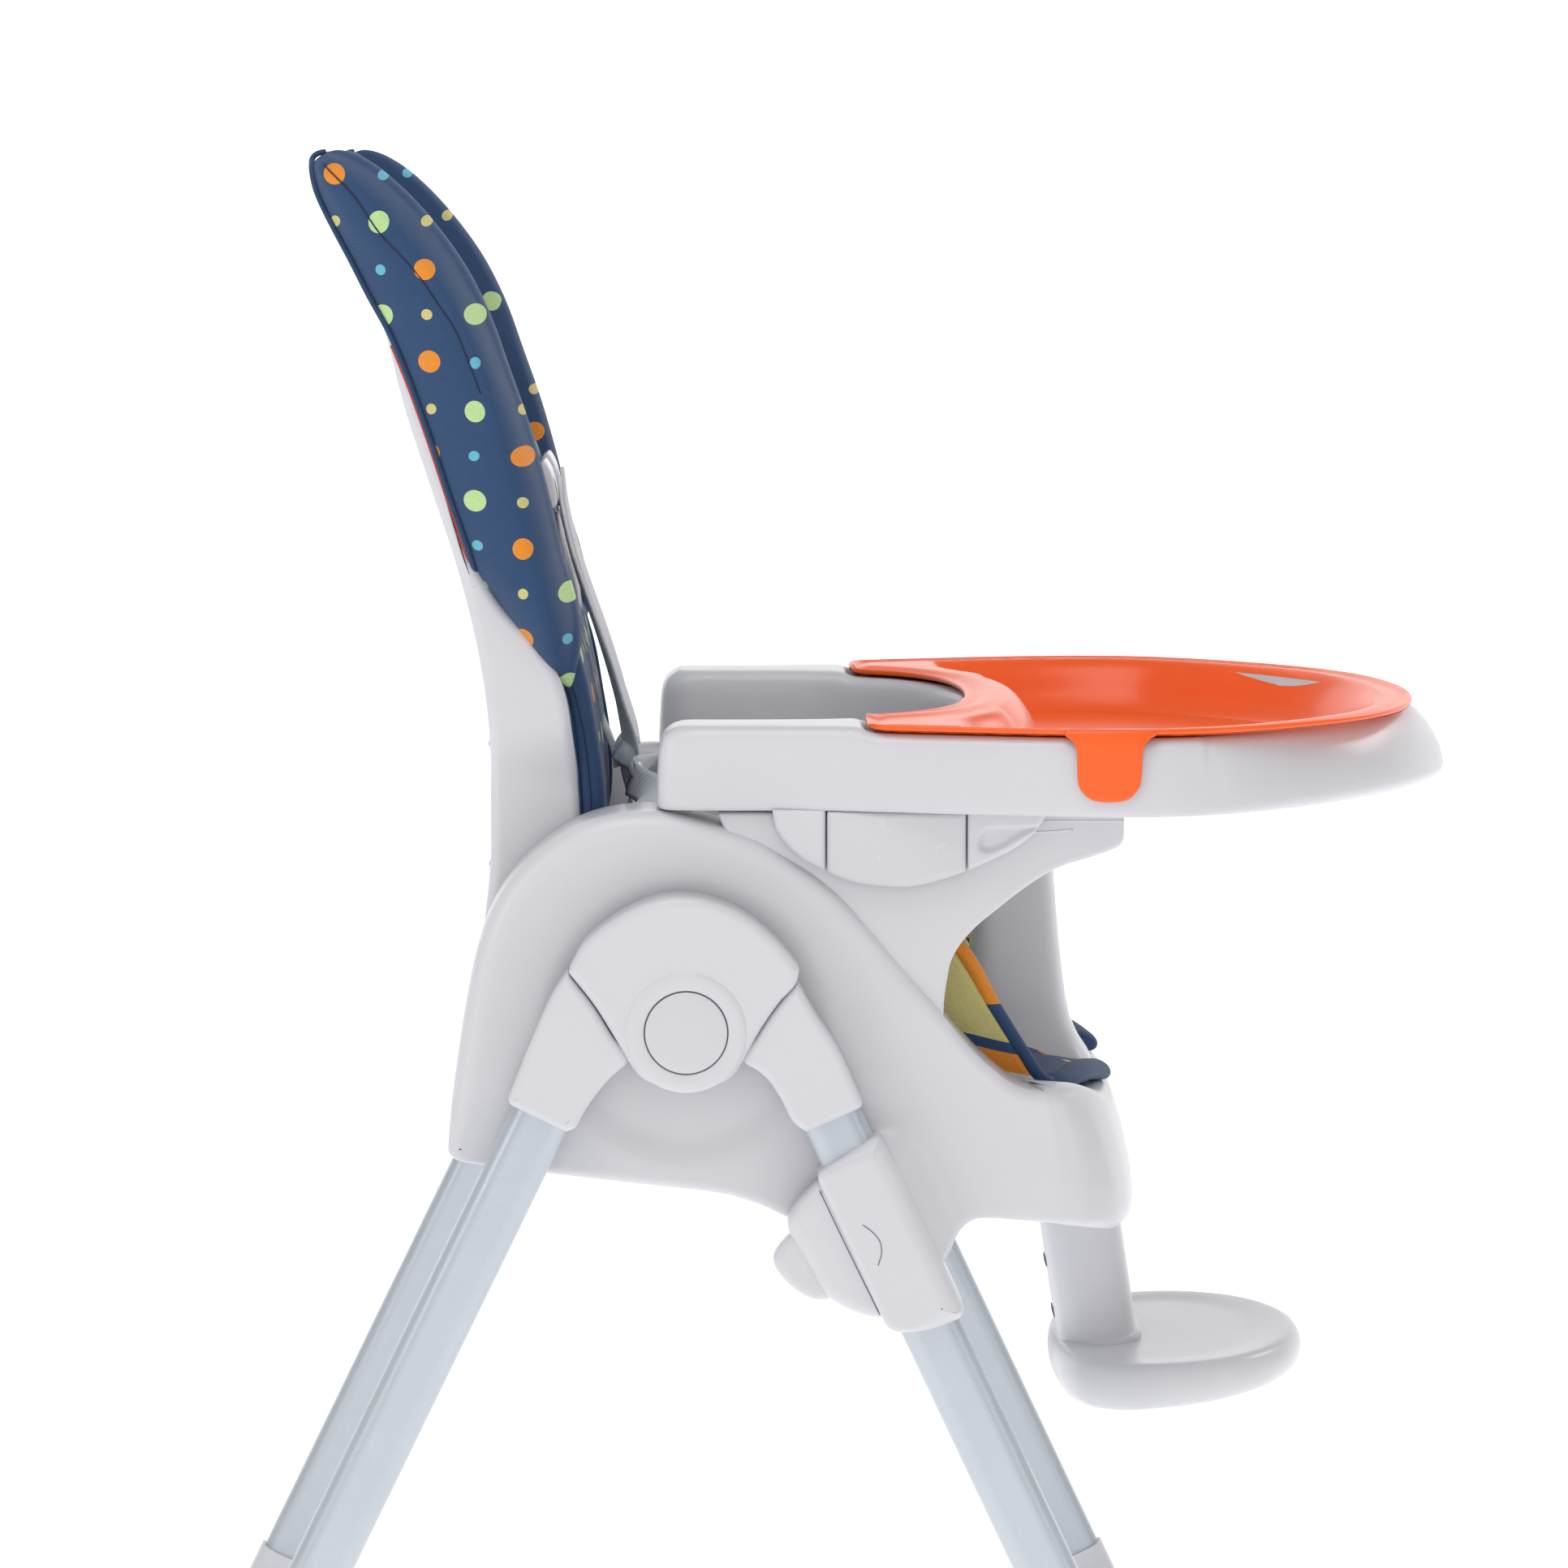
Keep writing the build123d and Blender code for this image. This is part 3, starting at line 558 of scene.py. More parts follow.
# --- generic print: soft shapes drawn as distances in a flat pattern field
class Print(Nodes):
    def coords(self, use_uv=True, tile=None, angle=0.0):
        src = self.new("ShaderNodeUVMap", uv_map="print").outputs[0]
        mp = self.new("ShaderNodeVectorMath", operation="SCALE")
        mp.inputs["Scale"].default_value = 1.0
        self.link(src, mp.inputs[0])
        v = mp.outputs[0]
        n = self.new("ShaderNodeTexNoise")
        n.inputs["Scale"].default_value = 0.012
        n.inputs["Detail"].default_value = 1.0
        self.link(v, n.inputs["Vector"])
        sub = self.new("ShaderNodeVectorMath", operation="SUBTRACT")
        self.link(n.outputs["Color"], sub.inputs[0])
        sub.inputs[1].default_value = (0.5, 0.5, 0.5)
        sc = self.new("ShaderNodeVectorMath", operation="SCALE")
        sc.inputs["Scale"].default_value = 9.0
        self.link(sub.outputs[0], sc.inputs[0])
        add = self.new("ShaderNodeVectorMath", operation="ADD")
        self.link(v, add.inputs[0])
        self.link(sc.outputs[0], add.inputs[1])
        v = add.outputs[0]
        if tile:
            w = self.new("ShaderNodeVectorMath", operation="WRAP")
            self.link(v, w.inputs[0])
            w.inputs[1].default_value = (tile[0], tile[1], 1)
            w.inputs[2].default_value = (0, 0, -1)
            v = w.outputs[0]
        self.v = v
        return v

    def local(self, cx, cy, ang=0.0, sx=1.0, sy=1.0):
        """Coordinates measured from a motif's centre, turned and scaled."""
        n = self.new("ShaderNodeMapping", vector_type="TEXTURE")
        n.inputs["Location"].default_value = (cx, cy, 0)
        n.inputs["Rotation"].default_value = (0, 0, math.radians(ang))
        n.inputs["Scale"].default_value = (sx, sy, 1)
        self.link(self.v, n.inputs["Vector"])
        flat = self.new("ShaderNodeVectorMath", operation="MULTIPLY")
        self.link(n.outputs[0], flat.inputs[0])
        flat.inputs[1].default_value = (1, 1, 0)
        return flat.outputs[0]

    def length(self, v):
        n = self.new("ShaderNodeVectorMath", operation="LENGTH")
        self.link(v, n.inputs[0])
        return n.outputs["Value"]

    def ellipse(self, cx, cy, rx, ry, ang=0.0):
        return self.math("LESS_THAN", self.length(self.local(cx, cy, ang, rx, ry)), 1.0)

    def rect(self, cx, cy, hx, hy, ang=0.0):
        s = self.new("ShaderNodeSeparateXYZ")
        self.link(self.local(cx, cy, ang, hx, hy), s.inputs[0])
        a = self.math("MAXIMUM", self.math("ABSOLUTE", s.outputs[0]), self.math("ABSOLUTE", s.outputs[1]))
        return self.math("LESS_THAN", a, 1.0)

    def both(self, a, b):
        return self.math("MULTIPLY", a, b)

    def either(self, a, b):
        return self.math("MAXIMUM", a, b)

    def less(self, a, b):
        """a without b"""
        return self.math("MULTIPLY", a, self.math("SUBTRACT", 1.0, b))

    def leaf(self, x0, y0, x1, y1, width):
        """Pointed leaf from one point to another: where two circles meet."""
        L = math.hypot(x1 - x0, y1 - y0)
        h = width / 2
        R = (L * L / 4 + h * h) / (2 * h)
        ux, uy = (x1 - x0) / L, (y1 - y0) / L
        mx, my = (x0 + x1) / 2, (y0 + y1) / 2
        d = R - h
        a = self.ellipse(mx - uy * d, my + ux * d, R, R)
        b = self.ellipse(mx + uy * d, my - ux * d, R, R)
        return self.both(a, b)

    def arch(self, cx, cy, r1, r0, ang, leg=60):
        """Half ring with straight legs."""
        outer = self.either(self.ellipse(cx, cy, r1, r1), self.rot_rect(cx, cy, r1, leg, ang))
        inner = self.either(self.ellipse(cx, cy, r0, r0), self.rot_rect(cx, cy, r0, leg + 5, ang))
        return self.less(outer, inner)

    def rot_rect(self, cx, cy, half, leg, ang):
        a = math.radians(ang)
        return self.rect(cx + math.sin(a) * leg / 2, cy - math.cos(a) * leg / 2, half, leg / 2, ang)


NAVY = lin(34, 68, 108)
TEAL = lin(8, 128, 166)
SKY = lin(98, 182, 206)
ORANGE = lin(232, 142, 36)
KHAKI = lin(208, 198, 128)
RED = lin(226, 38, 20)
BROWN = lin(104, 44, 30)
GREEN = lin(56, 170, 76)
PALE = lin(188, 220, 152)
CORAL = lin(240, 94, 58)
CREAM = lin(232, 228, 220)


def finish_fabric(p, colour):
    """Coated cloth: fine weave, thread-to-thread colour change, soft creases."""
    tc = p.new("ShaderNodeTexCoord").outputs["Object"]
    th = p.noise(900.0, 2.0, 0.6)
    dk = p.mix(0.82, (0, 0, 0), colour)
    p.link(p.mix(p.ramp(th, 0.3, 0.7, 0.0, 1.0), dk, colour), p.b.inputs["Base Color"])
    p.b.inputs["Roughness"].default_value = 0.62
    p.b.inputs["Specular IOR Level"].default_value = 0.35
    p.b.inputs["Sheen Weight"].default_value = 0.12
    p.b.inputs["Sheen Roughness"].default_value = 0.5
    sep = p.new("ShaderNodeSeparateXYZ")
    p.link(tc, sep.inputs[0])
    k = 2 * math.pi / 0.0011
    a = p.math("SINE", p.math("MULTIPLY", p.math("ADD", sep.outputs[0], sep.outputs[1]), k))
    b = p.math("SINE", p.math("MULTIPLY", sep.outputs[2], k))
    h = p.math("MULTIPLY_ADD", p.math("MULTIPLY", a, b), 0.3, 0.5)
    cr = p.noise(34.0, 4.0, 0.55)
    h2 = p.math("ADD", h, p.math("MULTIPLY", cr, 2.2))
    p.bump(h2, 0.5, 0.0006)


def dot_print(name):
    """Generic pattern: plain dots in two sizes on a staggered grid."""
    p = Print(name)
    p.coords(tile=(60, 60))
    L = [(p.ellipse(15, 15, 7, 7), ORANGE), (p.ellipse(45, 45, 7, 7), PALE),
         (p.ellipse(45, 15, 3.5, 3.5), SKY), (p.ellipse(15, 45, 3.5, 3.5), KHAKI)]
    col = NAVY
    for fac, c in L:
        col = p.mix(fac, col, c)
    finish_fabric(p, col)
    return p.mat


def plain_cloth(name, c, rough=0.7):
    p = Print(name)
    p.v = None
    col = p.mix(p.ramp(p.noise(60.0, 4.0, 0.6), 0.3, 0.7, 0.0, 1.0), c, tuple(x * 0.82 for x in c))
    finish_fabric(p, col)
    return p.mat


def band_print(name, bands, axis=1):
    """Bands of colour along a trim, by the print coordinates."""
    p = Print(name)
    p.coords()
    sep = p.new("ShaderNodeSeparateXYZ")
    p.link(p.v, sep.inputs[0])
    u = sep.outputs[axis]
    col = bands[0][1]
    for edge, c in bands[1:]:
        col = p.mix(p.math("GREATER_THAN", u, edge), col, c)
    finish_fabric(p, col)
    return p.mat


def webbing(name, col, pitch=0.0016):
    m = Nodes(name)
    tc = m.new("ShaderNodeTexCoord").outputs["Object"]
    sep = m.new("ShaderNodeSeparateXYZ")
    m.link(tc, sep.inputs[0])
    k = 2 * math.pi / pitch
    a = m.math("SINE", m.math("MULTIPLY", m.math("ADD", sep.outputs[2], sep.outputs[0]), k))
    b = m.math("SINE", m.math("MULTIPLY", m.math("SUBTRACT", sep.outputs[2], sep.outputs[1]), k * 0.8))
    h = m.math("MULTIPLY_ADD", m.math("MULTIPLY", a, b), 0.5, 0.5)
    # the weave's hollows get the darker colour, following the bump height: painted shade in the weave
    dark = tuple(c * 0.86 for c in col)
    m.link(m.mix(h, dark, col), m.b.inputs["Base Color"])
    m.link(m.ramp(m.noise(300.0, 2.0), 0.3, 0.7, 0.7, 0.9), m.b.inputs["Roughness"])
    m.b.inputs["Sheen Weight"].default_value = 0.25
    m.b.inputs["Sheen Roughness"].default_value = 0.4
    m.bump(h, 0.8, 0.0006)
    return m.mat


WHITE = plastic("plastic_white", lin(206, 206, 210), 0.30, spec=0.36, coat=0.06)
WHITE2 = plastic("plastic_white_button", lin(203, 203, 207), 0.26, spec=0.38, coat=0.1)
INNER = plastic("plastic_grey_inner", lin(198, 200, 206), 0.34, spec=0.35)
ORANGEP = plastic("plastic_orange", lin(252, 98, 28), 0.3, spec=0.38, coat=0.08, wear=0.04)
SILVER = metal_paint("tube_silver", lin(184, 191, 198), 0.36)
RUBBER = plastic("rubber_grey", lin(88, 91, 96), 0.7, spec=0.3, tex=0.0003, scale=260.0, wear=0.2)
STEEL = metal_paint("pin_steel", lin(170, 172, 176), 0.3)
# dark grey for the hinge groove, the slider and housing seams and the footrest notches: painted shade in these gaps and
# recesses of the white plastic
GROOVE_SHADE = plastic("groove_painted_shade", lin(96, 99, 106), 0.6, spec=0.2)
PRINTT = dot_print("fabric_print_dots")
NAVYC = plain_cloth("cloth_navy", NAVY)
CORALC = plain_cloth("piping_coral", lin(206, 60, 42))
STITCH = plain_cloth("thread_navy", lin(16, 30, 56))
LININGC = plain_cloth("cloth_lining", lin(222, 222, 226))
WEB = webbing("webbing_white", lin(232, 234, 240))
MESH = webbing("webbing_mesh", lin(214, 218, 226), 0.0030)


def clear_plastic():
    m = Nodes("buckle_clear")
    n = m.noise(120.0, 4.0)
    m.link(m.mix(m.ramp(n, 0.3, 0.7, 0, 1), lin(206, 212, 220), lin(184, 192, 202)), m.b.inputs["Base Color"])
    m.link(m.ramp(n, 0.3, 0.7, 0.16, 0.3), m.b.inputs["Roughness"])
    m.b.inputs["Transmission Weight"].default_value = 0.35
    m.b.inputs["IOR"].default_value = 1.46
    m.bump(m.noise(500.0, 2.0), 0.3, 0.00006)
    return m.mat


CLEAR = clear_plastic()

# ------------------------------------------------------------------ seat bucket
ARCH_TOP = [(-155, 464), (-152.9, 490.7), (-147.9, 528.7), (-141.1, 570.2), (-135.4, 596.6), (-125.9, 623),
            (-114.6, 641.9), (-99.6, 657.8), (-84.6, 669.5), (-68.7, 678.5), (-52.8, 683.6), (-38, 686),
            (-17.5, 686.5), (-4.4, 684.5), (8.6, 681.3), (27.2, 675.6), (47.8, 667.8), (64.6, 658.0),
            (83.3, 646), (102, 629.5), (120.7, 608), (136.2, 589), (154.7, 567.2), (168.5, 550.5),
            (182.4, 533.7), (199, 517.8), (211, 508.5), (225, 504.2), (243.4, 503.7), (258, 506.5), (271, 510)]
UNDER = [(240, 417), (196, 420.5), (186.5, 420), (179.2, 415), (175.1, 409.9),
         (170.8, 400.9), (163, 392), (110, 405), (65.7, 421), (49.6, 429.2), (28.9, 436), (12, 438.9), (-40.6, 444.8),
         (-89.5, 450.7), (-132.6, 456.5), (-150, 459.5)]
PLAN_HALF = np.array([(243, 230), (262, 223), (279, 206), (290, 180), (297, 140), (301, 80), (303, 0)], float)
PH = hermite(PLAN_HALF, 2.0)
PHs = np.concatenate([[0], np.cumsum(np.linalg.norm(np.diff(PH, axis=0), axis=1))]) + 243.0
S_MID = float(PHs[-1])
S_END = 2 * S_MID
EDGE_Z = np.array([404, 412, 419.7, 437.2, 460, 482, 494, 505, 512], float)
EDGE_X = np.array([299.5, 301.8, 302.6, 300.3, 295, 288, 281.7, 274, 270], float)


def plan_curve(s):
    """Point and outward normal on the bucket's plan; s is X on the flat sides."""
    s = np.asarray(s, float)
    q = np.minimum(s, S_END - s)
    x = np.where(q < 243, q, np.interp(q, PHs, PH[:, 0]))
    y = np.where(q < 243, 230.0, np.interp(q, PHs, PH[:, 1]))
    e = 1.5
    xa = np.where(q - e < 243, q - e, np.interp(q - e, PHs, PH[:, 0]))
    ya = np.where(q - e < 243, 230.0, np.interp(q - e, PHs, PH[:, 1]))
    qb = np.minimum(q + e, S_MID)
    xb = np.where(qb < 243, qb, np.interp(qb, PHs, PH[:, 0]))
    yb = np.where(qb < 243, 230.0, np.interp(qb, PHs, PH[:, 1]))
    tx, ty = xb - xa, yb - ya
    n = np.maximum(np.hypot(tx, ty), 1e-9)
    nx, ny = -ty / n, tx / n
    flip = s > S_MID
    sy = np.where(flip, 1.0, -1.0)
    return x, y * sy, nx, ny * sy, q


def bucket3(s, z, lev):
    """lev is the distance outside the inner face; 60 is the flat side's outer face."""
    x, y, nx, ny, q = plan_curve(s)
    sh = np.interp(z, EDGE_Z, EDGE_X) - 303.0
    w = smooth(205, 300, q)
    off = lev - 60.0
    depth = 60.0 - 24.0 * smooth(180, 255, q)
    off = np.maximum(off, -depth)
    return np.column_stack([x + sh * w + nx * off, y + ny * off, z])


top_half = [(x, z) for x, z in ARCH_TOP if x <= 243.5]
front_top = [(262, 505.0), (282, 506), (302, 504), (322, 499), (342, 493.5), (362, 490), (400, 487), (S_MID - 1, 486)]
R_TOP = [("s", top_half + front_top)]
L_TOP = [("s", [(S_END - x, z) for x, z in reversed(top_half + front_top[:-1])])]
R_UND = [(x, z) for x, z in UNDER]
bottom = [(S_END - x, z) for x, z in reversed(R_UND)] + [(S_END - 300, 407), (S_MID + 60, 405), (S_MID - 60, 405), (300, 407)] + R_UND
P_B = outline(R_TOP + L_TOP + [("p", bottom)], step=2.5, sig=2.6)


def rad_bucket(P):
    q = np.minimum(P[:, 0], S_END - P[:, 0])
    arch = np.interp(q, [-160, -140, -60, 60, 150, 172, 200, 260], [13, 15, 16, 15, 12, 7, 7, 9])
    topz = np.interp(q, [-155, 243], [560, 480])
    top = P[:, 1] > np.interp(q, [-155, -150, -100, 60, 180, 243, 700], [470, 500, 560, 560, 480, 470, 470])
    r = np.where(top, arch, 6.0)
    k = 9
    return np.array([np.roll(r, i) for i in range(-k, k + 1)]).mean(0)


def flare(s, z):
    """The side panel swells into the slider on each front leg."""
    q = np.minimum(s, S_END - s)
    off = q * FN[0] + (z - HZ) * FN[1]
    ss = q * FD[0] + (z - HZ) * FD[1]
    front = 29.0 * np.exp(-(np.maximum(off - 76.0, 0) / 19.0) ** 2) * smooth(112, 138, ss)
    rear = smooth(40, 56, off)
    return front * rear


def hollow(s, z):
    """Shallow dish under the hinge."""
    q = np.minimum(s, S_END - s)
    r = np.hypot(q - 0.0, z - HZ)
    return -3.2 * smooth(96, 74, r) * (1.0)


def make_bucket():
    P = P_B
    N = inward(P)
    r = rad_bucket(P)
    n = len(P)
    V, F = [], []
    K = 8
    rings = [(np.zeros(n), np.zeros(n))]
    for k in range(K + 1):
        a = math.pi / 2 * k / K
        rings.append((r * (1 - math.cos(a)), 60 - r + r * math.sin(a)))
    rings.append((r + 1.2, np.full(n, 60.0)))
    last = None
    for ins, lev in rings:
        R = P + N * ins[:, None]
        lv = lev + np.where(lev > 30, flare(R[:, 0], R[:, 1]) * smooth(30, 60, lev), 0)
        V.append(bucket3(R[:, 0], R[:, 1], lv))
        last = R
    for k in range(len(rings) - 1):
        for i in range(n):
            j = (i + 1) % n
            F.append([k * n + i, k * n + j, (k + 1) * n + j, (k + 1) * n + i])
    V = list(np.vstack(V))
    G, T = cap_fill(last, 4.0)
    lv = 60.0 + flare(G[:, 0], G[:, 1]) + hollow(G[:, 0], G[:, 1])
    off = len(V)
    V += list(bucket3(G[:, 0], G[:, 1], lv))
    F += [[off + a for a in t] for t in T]
    G, T = cap_fill(P, 7.0)
    off = len(V)
    V += list(bucket3(G[:, 0], G[:, 1], np.zeros(len(G))))
    F += [[off + a for a in t] for t in T]
    return build("seat_bucket", V, F, WHITE, "seat", replaces=("seat_side_right", "seat_side_left", "seat_tub"), slot="shell_white")


make_bucket()

# seat pan between the sides
pan = [("p", [(-148, 461.5), (-148, 500), (-112, 500), (-108, 482), (258, 479), (266, 478), (272, 468), (276, 416), (240, 419), (196, 422.5), (184, 421), (174, 411),
              (163, 397), (110, 407), (65.7, 423), (49.6, 431.2), (28.9, 438), (12, 440.9), (-40.6, 446.8), (-89.5, 452.7)])]
plate("seat_pan", outline(pan, 4, 2), -168, 168, INNER, "seat", r0=0, r1=0.5, pair=False, slot="shell_white")

# ------------------------------------------------------------------ hinge
FRONT_SOCKET = [(71.3, 581.1), (80.6, 563.9), (97.4, 537.5), (113.2, 503.7), (112.3, 500.3),
                (77.5, 484.1), (70.4, 488.8), (51.0, 520.8), (38.0, 528.4), (36.1, 530.5),
                (45.4, 547.4), (60.2, 568.9)]
REAR_SOCKET = [(-75.8, 588.0), (-84.2, 575.5), (-97.3, 547.5), (-114.2, 506.2), (-113.0, 502.6),
               (-77.3, 484.8), (-71.6, 485.9), (-66.0, 496.7), (-47.4, 522.0), (-37.1, 529.8),
               (-47.3, 547.7), (-58.3, 565.5)]
FAN = [("s", [(-75.2, 589.2), (-65.5, 606.0), (-50.8, 619.0), (-32.2, 630.0), (-13.7, 636.0), (1.0, 636.6),
              (19.6, 632.8), (38.0, 624.4), (54.6, 611.3), (72.6, 590.7)]),
       ("s", [(71.0, 582.2), (60.4, 569.6), (45.9, 548.2), (36.8, 531.4)]),
       ("s", [(30.5, 522.0), (17.0, 514.5), (0.0, 511.8), (-17.0, 514.5), (-30.5, 522.0), (-37.4, 531.5)]),
       ("s", [(-47.4, 549.0), (-58.4, 566.8), (-75.2, 588.4)])]


def socket_outline(pts, sign):
    p = [(x, z) for x, z in pts]
    if sign > 0:
        rr = [("p", [p[0]]), ("s", [(80.6, 563.9), (97.4, 537.5), (110.5, 509.0)]), ("p", [(113.2, 503.7), (112.3, 500.3), (77.5, 484.1)]),
              ("s", [(70.4, 488.8), (60, 507), (51.0, 519.8), (43.5, 525.6), (38.4, 528.0)]), ("s", [(36.6, 530.7), (45.7, 547.4), (60.4, 568.9), (71.0, 581.1)])]
    else:
        rr = [("p", [p[0]]), ("s", [(-84.2, 575.5), (-97.3, 547.5), (-111.5, 513.0)]), ("p", [(-114.2, 506.2), (-113.0, 502.6), (-77.3, 484.8)]),
              ("s", [(-71.6, 487.0), (-66.0, 496.7), (-56.5, 510.5), (-47.4, 520.8), (-38.5, 528.2)]), ("s", [(-37.4, 530.2), (-47.6, 547.7), (-58.6, 565.8), (-75.4, 587.6)])]
    return outline(rr, 1.6, 1.3)


plate("hinge_fan", outline(FAN, 1.6, 1.3), 234, 271.2, WHITE, "front_frame", r1=6.0, hole=None, replaces=("hinge_cover",), slot="shell_white", K=8)
plate("front_socket", socket_outline(FRONT_SOCKET, 1), 231, 268, WHITE, "front_frame", r1=5.0, replaces=("front_hinge_socket",), slot="shell_white", K=8)
plate("rear_socket", socket_outline(REAR_SOCKET, -1), 234, 268, WHITE, "rear_frame", r1=5.0, replaces=("rear_hinge_socket",), slot="shell_white", K=8)

ring = [(26.9, 270.0), (26.9, 271.6), (27.3, 272.5), (28.2, 272.9), (33.0, 273.0), (36.0, 272.7), (37.8, 271.9), (38.9, 270.8), (39.2, 269.0), (26.9, 269.0), (26.9, 270.0)]


def ring_lathe():
    n = 128
    V, F = [], []
    prof = ring[:-1]
    m = len(prof)
    for i in range(n):
        a = 2 * math.pi * i / n
        for r, y in prof:
            V.append((r * math.cos(a), -y, HZ + r * math.sin(a)))
    for i in range(n):
        j = (i + 1) % n
        for k in range(m):
            kk = (k + 1) % m
            F.append([i * m + k, i * m + kk, j * m + kk, j * m + k])
    for side in ("right", "left"):
        build("hinge_ring_" + side, V, F, WHITE, "front_frame", side=side, slot="shell_white")


ring_lathe()
# dark disc behind the button, seen in the gap round it: painted shade of the groove
lathe("hinge_groove", [(0, 271.0), (27.2, 271.0), (27.4, 271.45), (0, 271.5)][:0] or [(0, 270.6), (27.1, 270.6), (27.1, 271.4), (0, 271.4)], 0, HZ, GROOVE_SHADE, "front_frame", slot="button_grey")
BUT = [(0, 271.2), (25.6, 271.2)] + [(25.6 + 0.7 * math.sin(t), 272.6 + 0.9 * (1 - math.cos(t)) * 0) for t in (math.pi / 2,)] + \
      [(26.3, 272.2), (26.1, 272.75), (25.6, 273.1), (24.6, 273.35), (20, 273.6), (10, 273.85), (3, 273.9), (0, 273.9)]
lathe("hinge_button", BUT, 0, HZ, WHITE2, {"right": "fold_button_right", "left": "fold_button_left"}, replaces=("fold_button",), slot="button_grey")

# ------------------------------------------------------------------ slider and latch
SL = [("p", [(84.1, 453.9), (85, 458.5), (91.4, 462.2), (118.8, 479.8), (124.2, 480.6)]), ("s", [(133, 466), (150, 430), (172.2, 383.0)]),
      ("p", [(179.6, 366.2), (175.9, 361.0)]), ("s", [(163, 356.6), (146.6, 354.0), (133.7, 354.0)]), ("p", [(128.6, 357.4), (126, 363)])]
P_SL = outline(SL, 2.0, 2.2)


def slider_piece():
    P = P_SL
    off = P[:, 0] * FN[0] + (P[:, 1] - HZ) * FN[1]
    ss = P[:, 0] * FD[0] + (P[:, 1] - HZ) * FD[1]
    r = np.where(off > 62, 13.0, 4.5)
    r = np.where((off <= 62) & (ss < 128), 5.5, r)
    for _ in range(30):
        r = (np.roll(r, 1) + r + np.roll(r, -1)) / 3
    N = inward(P)
    n = len(P)
    rings = [(np.zeros(n), np.full(n, 226.0))]
    K = 8
    for k in range(K + 1):
        a = math.pi / 2 * k / K
        rings.append((r * (1 - math.cos(a)), 270.5 - r + r * math.sin(a)))
    rings.append((r + 0.8, np.full(n, 270.5)))
    V, F = [], []
    for ins, lev in rings:
        R = untangle(P + N * ins[:, None], P, ins)
        V.append(yside(R[:, 0], R[:, 1], lev))
        last = R
    for k in range(len(rings) - 1):
        for i in range(n):
            j = (i + 1) % n
            F.append([k * n + i, k * n + j, (k + 1) * n + j, (k + 1) * n + i])
    V = list(np.vstack(V))
    F.append(list(range(n)))
    G, T = cap_fill(last, 4.0)
    off = len(V)
    V += list(yside(G[:, 0], G[:, 1], np.full(len(G), 270.5)))
    F += [[off + a for a in t] for t in T]
    for side in ("right", "left"):
        build("leg_slider_" + side, V, F, WHITE, "seat", side=side, replaces=("height_slider_" + side,), slot="shell_white")


slider_piece()
LOBE1 = outline([("s", [(84.6, 450.0), (74.1, 439.3), (68.1, 431.3), (65.1, 426.3), (65.6, 418.1)]), ("s", [(78, 396), (92.1, 374.3), (101.1, 368.7),
                 (111.1, 364.1), (119.1, 362.0), (128, 361.6)]), ("p", [(140, 372), (100, 455)])], 1.6, 1.4)
plate("latch_housing", LOBE1, 236, 263, WHITE, "seat", r1=8.0, replaces=("height_housing",), slot="shell_white", K=8)
LOBE2 = outline([("s", [(65.7, 414.9), (59.1, 407.6), (55.7, 400.6), (56.7, 395.4), (61.2, 388.3), (69.2, 380.1), (78.3, 374.5), (87.3, 372.4), (93.5, 374)]),
                 ("p", [(101, 386), (86, 418), (75, 422)])], 1.4, 1.4)
plate("latch_button", LOBE2, 243, 258.6, WHITE2, {"right": "height_button_right", "left": "height_button_left"}, r1=6.0, r0=3.0,
      replaces=("height_button",), slot="button_grey", K=8)
# thin half-round seam on the slider's face, and one on the housing, both dark: painted shade of the moulded seam lines
seam_pts = hermite([(113.0, 425.0), (118.5, 421.0), (124.5, 413.0), (125.2, 407.2), (123.0, 398.5)], 1.0)
for side in ("right", "left"):
    tube("slider_seam_" + side, [(x, -270.55, z) for x, z in seam_pts], 0.32, GROOVE_SHADE, "seat", n=6, side=side, slot="shell_white")
    tube("housing_seam_" + side, [(x, -263.05 - 0.0, z) for x, z in hermite([(85.5, 446.0), (102, 411), (124.5, 364.5)], 2.0)], 0.35, GROOVE_SHADE, "seat", n=6, side=side, slot="shell_white")

# ------------------------------------------------------------------ tray rail and bracket
RAIL = [("p", [(20, 685.8), (283.3, 685.8), (283.3, 668)]), ("s", [(281, 663.5), (277.2, 661.5), (267.4, 657.8), (236.8, 647.3), (218.4, 635.6),
        (201.3, 622.1), (186.6, 609.7), (177.0, 598.5), (171.9, 589.2), (169.1, 576.2), (167.3, 563.1), (166.8, 548.8)]), ("p", [(166, 530), (140, 540), (90, 600), (40, 640)])]
plate("tray_rail_body", outline(RAIL, 2.2, 1.6), 189, 221.5, WHITE, "seat", r1=3.0, r0=1.0, replaces=("tray_rail",), slot="shell_white")
for side in ("right", "left"):
    tube("rail_rib_a_" + side, [(x, -221.1, z) for x, z in hermite([(206, 679.8), (282.6, 679.8)], 4)], 1.0, WHITE, "seat", n=8, side=side, slot="shell_white")
    tube("rail_rib_b_" + side, [(x, -221.1, z) for x, z in hermite([(214, 672.6), (240, 673.2), (250, 674.2)], 3)], 1.0, WHITE, "seat", n=8, side=side, slot="shell_white")
B_REAR = [("s", [(55.6, 688.5), (57.8, 676.5), (65.1, 665.4), (76.2, 655.8), (88, 649.3)]), ("p", [(90.1, 648.6), (90.1, 688.5)])]
LEVER = [("p", [(91.0, 687.3), (91.0, 647.8)]), ("s", [(105.6, 642.1), (127.6, 638.7), (146, 638.7), (164.4, 642.9), (180.6, 648.2)]), ("p", [(180.6, 687.3)])]
B_FRONT = [("p", [(181.4, 688.5), (181.4, 648.6)]), ("s", [(195.6, 654.9), (210.3, 662.2), (223, 671.5), (235, 688.5)])]
plate("bracket_rear", outline(B_REAR, 1.4, 1.0), 222.6, 232.5, WHITE, "tray", r1=4.0, slot="shell_white")
